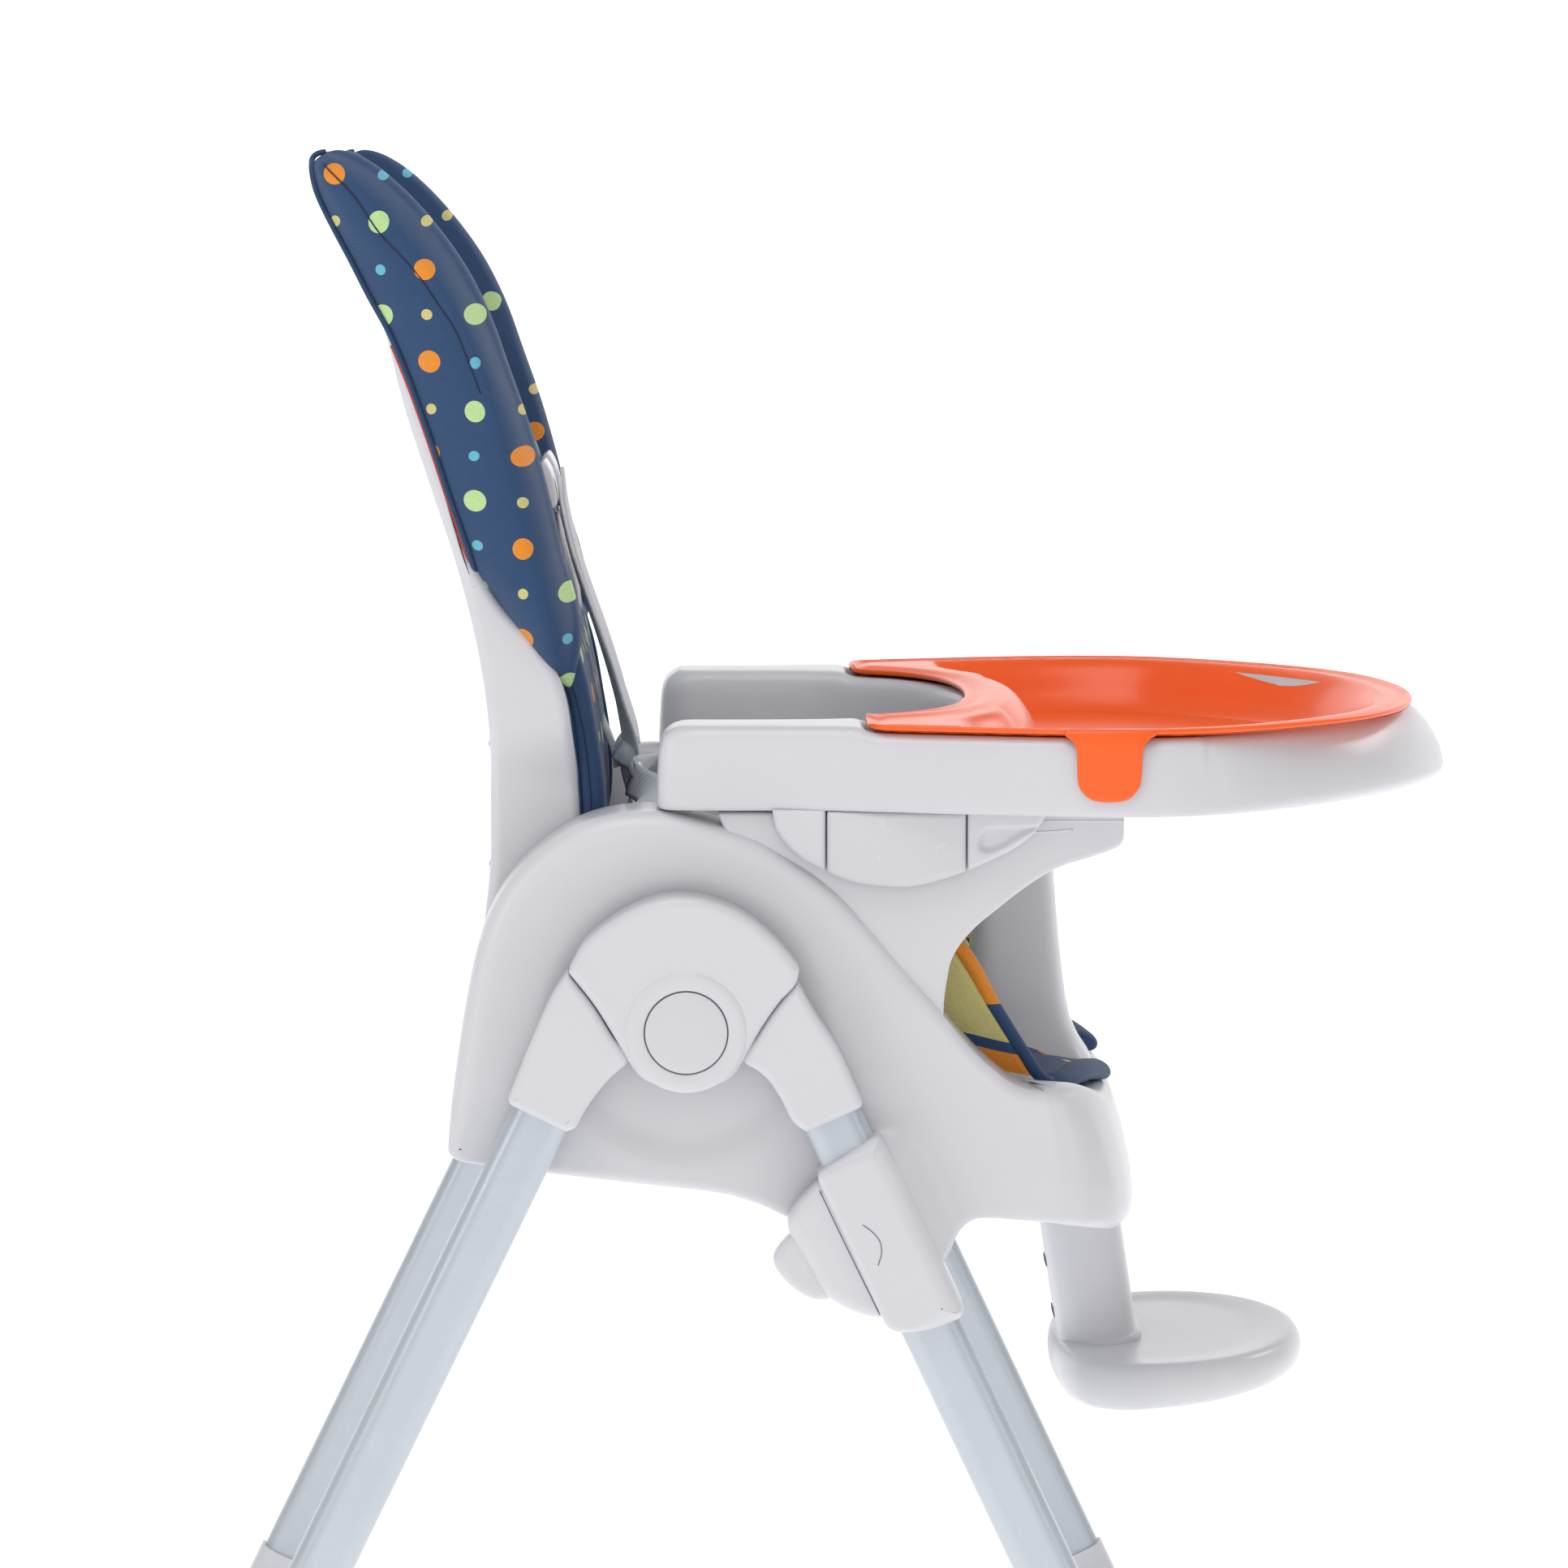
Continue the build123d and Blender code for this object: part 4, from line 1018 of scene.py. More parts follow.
plate("release_lever", outline(LEVER, 1.4, 1.0), 225.7, 233.6, WHITE2, {"right": "tray_release_right", "left": "tray_release_left"}, r1=4.0,
      replaces=("tray_release",), slot="button_grey")
TEAR = outline([("s", [(187.5, 668), (189, 661.5), (195, 660.6), (204, 663.4), (214, 669.5), (229, 678), (212, 677.5), (196, 677.6), (190, 674.5), (187.5, 668)])], 1.4, 1.2)


def tear_dip(R):
    d = dist_to(R, TEAR)
    return -3.0 * np.where(inside(R, TEAR), smooth(-0.6, 3.2, d), 0.0)


plate("bracket_front", outline(B_FRONT, 1.2, 1.0), 222.6, 232.5, WHITE, "tray", r1=3.0, bump=tear_dip, grid=1.6, replaces=("tray_bracket",), slot="shell_white")

# ------------------------------------------------------------------ tray
OUT = [(-10, 225.5), (0, 227), (60, 229), (118, 236), (180, 252), (215, 261), (241, 266), (268, 269), (290, 269.5), (315, 267),
       (340, 259), (370, 242), (400, 219), (430, 190), (460, 152), (485, 110), (503, 70), (515, 30), (518, 0)]
INN = [(60, 163), (100, 158), (130, 146), (155, 125), (173, 95), (184, 50), (187, 0)]
TRAY_P = outline([("p", [(-19, 178), (-19, 212)]), ("s", [(-15.5, 221.5), (-8, 225.6)] + OUT[1:] + [(x, -y) for x, y in OUT[-2:0:-1]] + [(-8, -225.6), (-15.5, -221.5), (-19, -212)]),
                  ("p", [(-19, -178)]), ("s", [(-16, -168), (-8, -164), (20, -163)] + [(x, -y) for x, y in INN] + [(x, y) for x, y in INN[-2::-1]] + [(20, 163), (-8, 164), (-16, 168), (-19, 178)])],
                 step=3.0, sig=3.0)


def zplan(x, y, lev):
    return np.column_stack([x, y, lev])


def tray_base():
    P = TRAY_P
    N = inward(P)
    n = len(P)
    x = P[:, 0]
    w = smooth(300, 470, x) * (np.abs(P[:, 1]) < 262)
    outer = (np.hypot(P[:, 0] - 0, 0) > -1) & ((dist_to(P, np.array([(a, b) for a, b in OUT] + [(a, -b) for a, b in OUT[::-1]]), closed=False) < 6))
    w = np.where(outer, w, 0)
    arm = smooth(120, 100, x)
    rear = smooth(10, -14, x)

    def ringz(k):
        return k
    rings = [
        (np.full(n, 8.0), np.full(n, 688.2)),
        (np.full(n, 3.0) + 8 * w, np.full(n, 687.4)),
        (np.full(n, 1.0) + 4 * w, np.full(n, 688.2) + 0.5 * w),
        (0.2 + 1.0 * w, np.full(n, 690.5) + 1.5 * w),
        (0 * w, 694.0 + 2 * w),
        (0.5 + 2.0 * w, 706.0 + 1 * w),
        (1.0 + 6.0 * w, np.full(n, 716.0)),
        (1.6 + 11.0 * w, np.full(n, 724.5)),
        (2.4 + 15.5 * w + 0.6 * rear, np.full(n, 730.5)),
        (3.8 + 18.0 * w + 1.4 * rear, np.full(n, 735.2)),
        (6.0 + 19.5 * w + 2.6 * rear, 738.6 - 0.4 * rear),
        (8.4 + 20.0 * w + 3.4 * rear, 740.4 - 0.2 * rear),
        (11.5 + 20.0 * w + 4.4 * rear, 741.4 - 0.0 * rear),
    ]
    rings = [(np.asarray(a, float) * 1.0, np.asarray(b, float) * 1.0) for a, b in rings]
    V, F = [], []
    R = None
    for ins, z in rings:
        R = P + N * ins[:, None]
        # under the insert the rim steps down so the insert's flange can sit on it
        zz = np.where((z > 730), z - 3.2 * smooth(108, 122, R[:, 0]) * smooth(730, 741, z), z)
        V.append(zplan(R[:, 0], R[:, 1], zz))
    for k in range(len(rings) - 1):
        for i in range(n):
            j = (i + 1) % n
            F.append([k * n + i, k * n + j, (k + 1) * n + j, (k + 1) * n + i])
    V = list(np.vstack(V))
    ring = R
    G, T = cap_fill(ring, 5.0)
    d = dist_to(G, ring)
    pocket = smooth(0.5, 7.0, d) * smooth(116, 126, G[:, 0])
    z = 741.4 - 3.2 * smooth(108, 122, G[:, 0]) - 42.0 * pocket + 0.35 * smooth(0, 25, d) * (1 - pocket)
    off = len(V)
    V += list(zplan(G[:, 0], G[:, 1], z))
    F += [[off + a for a in t] for t in T]
    R0 = P + N * rings[0][0][:, None]
    G, T = cap_fill(R0, 8.0)
    d = dist_to(G, R0)
    off = len(V)
    z = 688.2 + 3.0 * smooth(0, 6, d)
    V += list(zplan(G[:, 0], G[:, 1], z))
    F += [[off + a for a in t] for t in T]
    build("tray_shell", V, F, WHITE, "tray", replaces=("tray_base",), slot="shell_white")


tray_base()

INS_P = outline([("s", [(119, 167), (117.5, 180), (117.5, 200), (118.5, 222), (124, 233.0)]), ("s", [(150, 241), (180, 249), (215, 258), (241, 263), (268, 266), (290, 266.5), (315, 264),
                 (340, 256.5), (370, 240), (400, 217), (430, 188), (457, 152), (476, 112), (487, 70), (492.5, 30), (493.5, 0), (492.5, -30), (487, -70), (476, -112), (457, -152),
                 (430, -188), (400, -217), (370, -240), (340, -256.5), (315, -264), (290, -266.5), (268, -266), (241, -263), (215, -258), (180, -249), (150, -241), (124, -233)]),
                 ("s", [(118.5, -222), (117.5, -200), (117.5, -180), (119, -167)]),
                 ("s", [(126, -158.5), (143, -148), (160, -130), (177, -98), (187, -52), (190, 0), (187, 52), (177, 98), (160, 130), (143, 148), (126, 158.5), (119, 167)])],
                step=2.5, sig=3.2)


def insert_profile(G):
    """Height of the insert's top face."""
    d = dist_to(G, INS_P)
    belly = np.array([(126, -158.5), (143, -148), (160, -130), (177, -98), (187, -52), (190, 0), (187, 52), (177, 98), (160, 130), (143, 148), (126, 158.5)], float)
    db = dist_to(G, hermite(belly, 3.0), closed=False)
    # basin: a rounded oval inside the outer rim, its rear edge goes round the belly ridge
    x, y = G[:, 0], G[:, 1]
    rim = np.interp(x, [118, 200, 330, 430, 495], [11, 12, 15, 18, 20])
    do = d - rim
    ridge = db - 30.0
    rearw = (x - 196.0) / 1.0 + 0.0 * y
    side = np.minimum(do, ridge)
    side = np.minimum(side, (x - (206 - 30 * smooth(120, 200, np.abs(y)))))
    t = smooth(0, 34, side)
    z = 743.0 - 36.0 * t
    # rim bead, dip behind it, and the ridge by the belly
    z += 0.9 * np.exp(-((d - 2.2) / 1.8) ** 2) - 1.3 * np.exp(-((d - 8) / 4.0) ** 2)
    z += 2.0 * np.exp(-((db - 20) / 8.0) ** 2) * (1 - t)
    z += -1.4 * np.exp(-((side - 19) / 3.2) ** 2)
    return z


def tray_insert():
    P = INS_P
    N = inward(P)
    n = len(P)
    V, F = [], []
    rings = [(0.6, -3.4), (0.0, -2.7), (0.0, -1.2), (0.5, -0.3), (1.4, 0.0)]
    z0 = insert_profile(P + N * 1.4)
    for ins, dz in rings:
        R = P + N * ins
        V.append(zplan(R[:, 0], R[:, 1], z0 + dz))
    for k in range(len(rings) - 1):
        for i in range(n):
            j = (i + 1) % n
            F.append([k * n + i, k * n + j, (k + 1) * n + j, (k + 1) * n + i])
    R = P + N * 1.4
    V = list(np.vstack(V))
    G, T = cap_fill(R, 3.2)
    off = len(V)
    V += list(zplan(G[:, 0], G[:, 1], insert_profile(G)))
    F += [[off + a for a in t] for t in T]
    # underside follows the top 3.4 mm below
    R = P + N * 0.6
    G, T = cap_fill(R, 5.0)
    off = len(V)
    V += list(zplan(G[:, 0], G[:, 1], insert_profile(G) - 3.4))
    F += [[off + a for a in t] for t in T]
    build("insert_dish", V, F, ORANGEP, "tray_insert", replaces=("tray_insert",), slot="insert_orange")
    # clip tabs over the tray's edge
    U = outline([("p", [(241, 743), (241.5, 739.5)]), ("s", [(245, 737.5), (248.2, 733.0), (249.2, 725), (249.4, 716)]), ("s", [(250.5, 707.5), (256.5, 700.2), (269.5, 697.6), (283.0, 700.2), (289.2, 707.5)]),
                 ("s", [(290.2, 716), (290.6, 725), (291.8, 733.0), (295.5, 738), (300, 740.0)]), ("p", [(300.5, 743.4)])], 1.4, 1.0)

    def tab3(x, z, lev):
        # hugs the tray's wall, rolls over its shoulder at the top
        roll = smooth(729, 743.2, z)
        yy = np.interp(x, [240, 268, 290, 301], [265.6, 268.4, 268.9, 268.0])
        return np.column_stack([x, -(yy + 0.5 - 3.6 * roll * roll + lev), z])

    for side in ("right", "left"):
        shell_solid("insert_tab_" + side, U, [(0.0, 0.0), (0.0, 2.2), (0.25, 2.9), (0.9, 3.4), (1.9, 3.6)], ORANGEP, "tray_insert", to3=tab3,
                    caps=("g", "g"), grid=2.5, side=side, slot="insert_orange")


tray_insert()

# ------------------------------------------------------------------ crotch post
def crotch():
    rows = []
    Z = [478, 486, 494, 499, 503, 508, 514, 522, 536, 552, 576, 600, 625, 650, 672, 684]
    for z in Z:
        xf = float(np.interp(z, [478, 494, 499, 503, 508, 514, 522, 536, 552, 576, 618.6, 684], [281, 277.0, 273.6, 271.0, 268.4, 265.8, 262.6, 259.6, 257.4, 254.7, 250.9, 247.8]))
        xr = float(np.interp(z, [478, 530, 560, 684], [188, 193, 195.5, 197.5]))
        hy = float(np.interp(z, [478, 494, 503, 512, 530, 684], [58, 53, 47, 43.5, 41, 38.5]))
        rows.append((xf, xr, hy, z))
    n = 72
    V, F = [], []
    for xf, xr, hy, z in rows:
        cx, hx = (xf + xr) / 2, (xf - xr) / 2
        for i in range(n):
            a = 2 * math.pi * i / n
            c, s = math.cos(a), math.sin(a)
            e = 0.34
            x = cx + hx * math.copysign(abs(c) ** e, c)
            y = hy * math.copysign(abs(s) ** e, s)
            # the front face narrows slightly, so a lighter strip shows along its edge
            y *= 1 - 0.10 * smooth(0.80, 1.0, (x - cx) / hx)
            V.append((x, y, z + (0.0 if z < 672 else 0)))
    m = len(rows)
    for k in range(m - 1):
        for i in range(n):
            j = (i + 1) % n
            F.append([k * n + i, k * n + j, (k + 1) * n + j, (k + 1) * n + i])
    F.append(list(range(n)))
    F.append([(m - 1) * n + i for i in range(n)])
    build("crotch_column", V, F, WHITE, "seat", replaces=("crotch_post",), slot="shell_white")


crotch()

# ------------------------------------------------------------------ footrest
def footrest():
    n = 72
    V, F = [], []
    us = [-92, -84.6, -84.0, -83.2, -60, -30, 0, 30, 60, 82, 100, 118]
    rows = 0
    for u in us:
        big = smooth(-83.4, -84.4, np.array(u)) * 2.4
        f = 24.5 + float(big) - 14 * smooth(44, 118, np.array(u))
        b = 30.5 + float(big)
        hy = 41.5 + float(big) - 4 * smooth(60, 118, np.array(u))
        cx = (f - b) / 2
        hx = (f + b) / 2
        for i in range(n):
            a = 2 * math.pi * i / n
            c, s = math.cos(a), math.sin(a)
            off = cx + hx * math.copysign(abs(c) ** 0.62, c)
            y = hy * math.copysign(abs(s) ** 0.62, s)
            x, z = axis_pt(off, u)
            V.append((x, y, z))
        rows += 1
    for k in range(rows - 1):
        for i in range(n):
            j = (i + 1) % n
            F.append([k * n + i, k * n + j, (k + 1) * n + j, (k + 1) * n + i])
    F.append(list(range(n)))
    F.append([(rows - 1) * n + i for i in range(n)])
    build("footrest_post", V, F, WHITE, "footrest", replaces=("footrest_stem",), slot="shell_white")
    # dark patches on the post's rear face: painted shade of the notches
    for u in (-66, -30, 6):
        p = [axis_pt(-30.2, u - 4), axis_pt(-31.4, u - 3), axis_pt(-31.4, u + 3), axis_pt(-30.2, u + 4)]
        plate("footrest_notch_%d" % (u + 100), outline([("p", p + [axis_pt(-26, u + 4), axis_pt(-26, u - 4)])], 0.8, 0.6), -9, 9, GROOVE_SHADE, "footrest", r0=0.5, r1=0.5,
              pair=False, slot="shell_white")
    # plate: D-shaped, deep rounded edge, dished top, rear lobe under the post
    PL = outline([("s", [(250.5, 0), (252, 40), (256, 74), (266, 102), (286, 121), (318, 130), (352, 126), (384, 107), (407, 76), (420, 40), (424, 0), (420, -40), (407, -76),
                         (384, -107), (352, -126), (318, -130), (286, -121), (266, -102), (256, -74), (252, -40), (250.5, 0)])], 3.0, 3.0)
    N = inward(PL)
    n = len(PL)

    def top(x):
        return np.interp(x, [245, 262, 300, 418, 430], [297.5, 298.6, 300.2, 305.5, 306.0])

    def bot(x):
        return np.interp(x, [245, 258, 275, 300, 418, 430], [271, 267.0, 266.5, 268.5, 281, 283])
    V, F = [], []
    prof = [(12, 0.0), (8, 0.01), (4.5, 0.06), (2, 0.16), (0.6, 0.30), (0, 0.46), (0.4, 0.62), (1.6, 0.78), (3.6, 0.90), (6.2, 0.97), (9.5, 1.0), (12, 1.0)]
    for ins, t in prof:
        R = PL + N * ins
        z = bot(R[:, 0]) * (1 - t) + top(R[:, 0]) * t
        V.append(zplan(R[:, 0], R[:, 1], z))
    for k in range(len(prof) - 1):
        for i in range(n):
            j = (i + 1) % n
            F.append([k * n + i, k * n + j, (k + 1) * n + j, (k + 1) * n + i])
    V = list(np.vstack(V))
    for R, f, sgn in ((PL + N * 12, top, -1), (PL + N * 12, bot, 1)):
        G, T = cap_fill(R, 5.0)
        d = dist_to(G, R)
        off = len(V)
        V += list(zplan(G[:, 0], G[:, 1], f(G[:, 0]) + sgn * 2.2 * smooth(0, 26, d)))
        F += [[off + a for a in t] for t in T]
    build("footrest_step", V, F, WHITE, "footrest", replaces=("footrest_plate",), slot="shell_white")


footrest()

# ------------------------------------------------------------------ backrest shell
SHELL_REAR = [(-135, 530), (-133, 600), (-128, 646), (-128, 678), (-129, 743), (-135, 785), (-148, 839), (-165, 892),
              (-182, 945), (-196, 1000), (-199, 1010)]
SHELL_FRONT = [(-190, 1010), (-187, 997), (-174, 945), (-157, 892), (-140, 839), (-126, 785), (-120, 743), (-119, 678),
               (-119, 646), (-122, 600), (-122, 530)]
back_p = outline([("s", SHELL_REAR), ("s", SHELL_FRONT)], 3.0, 1.6)


def back_bump(R):
    return 16.0 * smooth(694, 742, R[:, 1])


plate("back_panel", back_p, -156, 156, INNER, "backrest", r0=1.0, r1=1.0, pair=False, slot="shell_white")
CHEEK = outline([("s", [(-135, 533), (-133, 600), (-128.4, 646), (-128, 678), (-129, 743), (-135, 785), (-148, 839), (-165, 892), (-182, 945), (-196, 1000), (-199, 1009)]),
                 ("p", [(-186, 1006)]), ("s", [(-172, 945), (-155, 892), (-138, 846)]), ("s", [(-120, 817), (-96, 792), (-83, 771), (-78.5, 758), (-73.5, 728), (-70, 700), (-68.5, 675), (-71, 620), (-77, 566)]),
                 ("p", [(-92, 534)])], 2.6, 2.2)
plate("back_cheek", CHEEK, 148, 161.5, WHITE, "backrest", r0=0.6, r1=7.0, bump=back_bump, grid=5.0, K=8, replaces=(), slot="shell_white")
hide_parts("backrest_shell")
# raised ribs across the back of the panel
for k, z in enumerate((640, 720, 800, 880)):
    xr = float(np.interp(z, [p[1] for p in SHELL_REAR], [p[0] for p in SHELL_REAR]))
    tube("back_rib_%d" % k, [(xr + 0.2, y, z) for y in np.linspace(-120, 120, 25)], 2.2, INNER, "backrest", n=12, slot="shell_white")

# ------------------------------------------------------------------ soft parts
def inflate(ob, pinned, cap=6.0, pressure=4.0, frames=20):
    """Fills a closed pad by cloth pressure; pinned vertices are the sewn edges."""
    me = ob.data
    n = len(me.vertices)
    rest = np.zeros(n * 3)
    me.vertices.foreach_get("co", rest)
    vg = ob.vertex_groups.new(name="pin")
    vg.add([int(i) for i in pinned], 1.0, "REPLACE")
    m = ob.modifiers.new("cloth", "CLOTH")
    s = m.settings
    s.quality = 5
    s.mass = 0.25
    s.use_pressure = True
    s.uniform_pressure_force = pressure
    s.vertex_group_mass = "pin"
    s.effector_weights.gravity = 0
    s.tension_stiffness = 12
    s.compression_stiffness = 12
    s.bending_stiffness = 0.6
    m.collision_settings.use_collision = False
    m.point_cache.frame_start = 1
    m.point_cache.frame_end = frames
    sc = bpy.context.scene
    for f in range(1, frames + 1):
        sc.frame_set(f)
        bpy.context.view_layer.update()
    dg = bpy.context.evaluated_depsgraph_get()
    ev = ob.evaluated_get(dg).to_mesh()
    new = np.zeros(n * 3)
    if len(ev.vertices) == n:
        ev.vertices.foreach_get("co", new)
    else:
        new = rest.copy()
    ob.evaluated_get(dg).to_mesh_clear()
    ob.modifiers.remove(m)
    ob.vertex_groups.clear()
    sc.frame_set(1)
    d = (new - rest).reshape(-1, 3)
    d[~np.isfinite(d).all(1)] = 0
    L = np.linalg.norm(d, axis=1)
    k = np.where(L > cap / 1000, cap / 1000 / np.maximum(L, 1e-12), 1.0)
    me.vertices.foreach_set("co", (rest.reshape(-1, 3) + d * k[:, None]).ravel())
    me.update()
    print("inflated", ob.name, "max mm", round(float(L.max() * 1000), 1))


def subdivide(ob, levels=1):
    m = ob.modifiers.new("sub", "SUBSURF")
    m.levels = m.render_levels = levels


# --- side wings: closed pads lofted from the rear piping to the front edge
WING_ST = [(-134.6, 833.0, -79.6, 758.6, 0.50), (-136.0, 840, -74.5, 779, 0.50), (-140.5, 854, -72.0, 802, 0.50), (-146, 870, -76.5, 826, 0.50),
           (-152, 887, -84.0, 850, 0.50), (-159, 909, -90.0, 876, 0.50), (-168, 936, -97.0, 904, 0.50), (-178, 964, -107.0, 938, 0.46),
           (-190, 993, -119.0, 972, 0.38), (-203, 1017, -132.0, 1007, 0.27), (-214, 1039, -147.5, 1037, 0.22), (-224, 1058, -164.5, 1060.5, 0.22),
           (-232, 1074, -184.5, 1082.5, 0.26), (-237.2, 1087, -204, 1098.5, 0.32), (-239.6, 1097.5, -219, 1106.5, 0.40), (-240.2, 1104.0, -230.5, 1110.0, 0.48)]


SEAM_LINE = [(-239.0, 1108.0), (-207.7, 1078.8), (-201.1, 1061.2), (-189.2, 1049.2), (-172.2, 1035.2), (-161.9, 1016.0), (-139.2, 984.8), (-127.3, 965.0), (-113.3, 931.0), (-103.3, 893.0)]


def wing_mesh():
    st = hermite(np.array(WING_ST), 9.0)
    st = resample(st, n=46, closed=False)
    S = np.array(SEAM_LINE, float)
    us0 = []
    for xr, zr, xf, zf, us in st:
        best = None
        for (ax, az), (bx, bz) in zip(S[:-1], S[1:]):
            dx, dz, ex, ez = xf - xr, zf - zr, bx - ax, bz - az
            den = dx * ez - dz * ex
            if abs(den) < 1e-9:
                continue
            t = ((ax - xr) * ez - (az - zr) * ex) / den
            w = ((ax - xr) * dz - (az - zr) * dx) / den
            if -0.02 <= w <= 1.02 and 0.1 <= t <= 0.8:
                best = t
                break
        us0.append(best if best is not None else np.nan)
    us0 = np.array(us0)
    ok = np.isfinite(us0)
    us0 = np.interp(np.arange(len(us0)), np.arange(len(us0))[ok], us0[ok])
    us0 = np.convolve(np.pad(us0, 2, mode="edge"), np.ones(5) / 5, mode="valid")
    st[:, 4] = np.clip(us0, 0.18, 0.7)
    loops = []
    NU = 15
    for i, (xr, zr, xf, zf, us) in enumerate(st):
        t = i / (len(st) - 1)
        endt = min(1.0, t / 0.10)
        endb = min(1.0, (1 - t) / 0.10)
        fat = math.sin(math.pi / 2 * endt) ** 0.7 * 0.55 + 0.45
        fat2 = math.sin(math.pi / 2 * max(endb, 0.0)) ** 0.6 * 0.75 + 0.25
        k = fat * fat2
        yin = 150.5
        yseam = 152 + 46.5 * k
        yrear = 152 + 27 * k
        yfront = 152 + 20 * k
        ridge = float(smooth(0.30, 0.48, np.array(t)))
        pts = []
        fr = np.linspace(0, 1, NU)
        L = math.hypot(xf - xr, zf - zr)
        for j, f in enumerate(fr):
            if f <= us:
                q = f / us
                y = yrear + (yseam - yrear) * (q * (1.55 - 0.55 * q) if ridge > 0.5 else math.sin(q * math.pi / 2))
            else:
                q = (f - us) / (1 - us)
                y = yseam - (yseam - yfront) * (0.25 * q + 0.75 * q**2.4)
            # padding swells between seams
            y += 2.4 * k * ridge * (math.sin(math.pi * min(1, max(0, (f - us) / (1 - us)))) if f > us else math.sin(math.pi * f / us))
            pts.append((xr + (xf - xr) * f, y, zr + (zf - zr) * f))
        ux, uz = (xf - xr) / L, (zf - zr) / L
        # rounded front edge
        for a in (20, 55, 90, 125, 160):
            aa = math.radians(a)
            e = (yfront - yin) / 2
            cy = (yfront + yin) / 2
            pts.append((xf + ux * min(6.0, e) * math.sin(aa), cy + e * math.cos(aa), zf + uz * min(6.0, e) * math.sin(aa)))
        for f in np.linspace(1, 0, 9):
            bulge = 2.5 * math.sin(math.pi * f) * k
            pts.append((xr + (xf - xr) * f, yin - bulge, zr + (zf - zr) * f))
        pts.append((xr, (yin + yrear) / 2, zr))
        loops.append(pts)
    return st, loops, NU


WST, WLOOPS, NU = wing_mesh()


def wing_uv(x, y, z):
    return (x + 600, z)


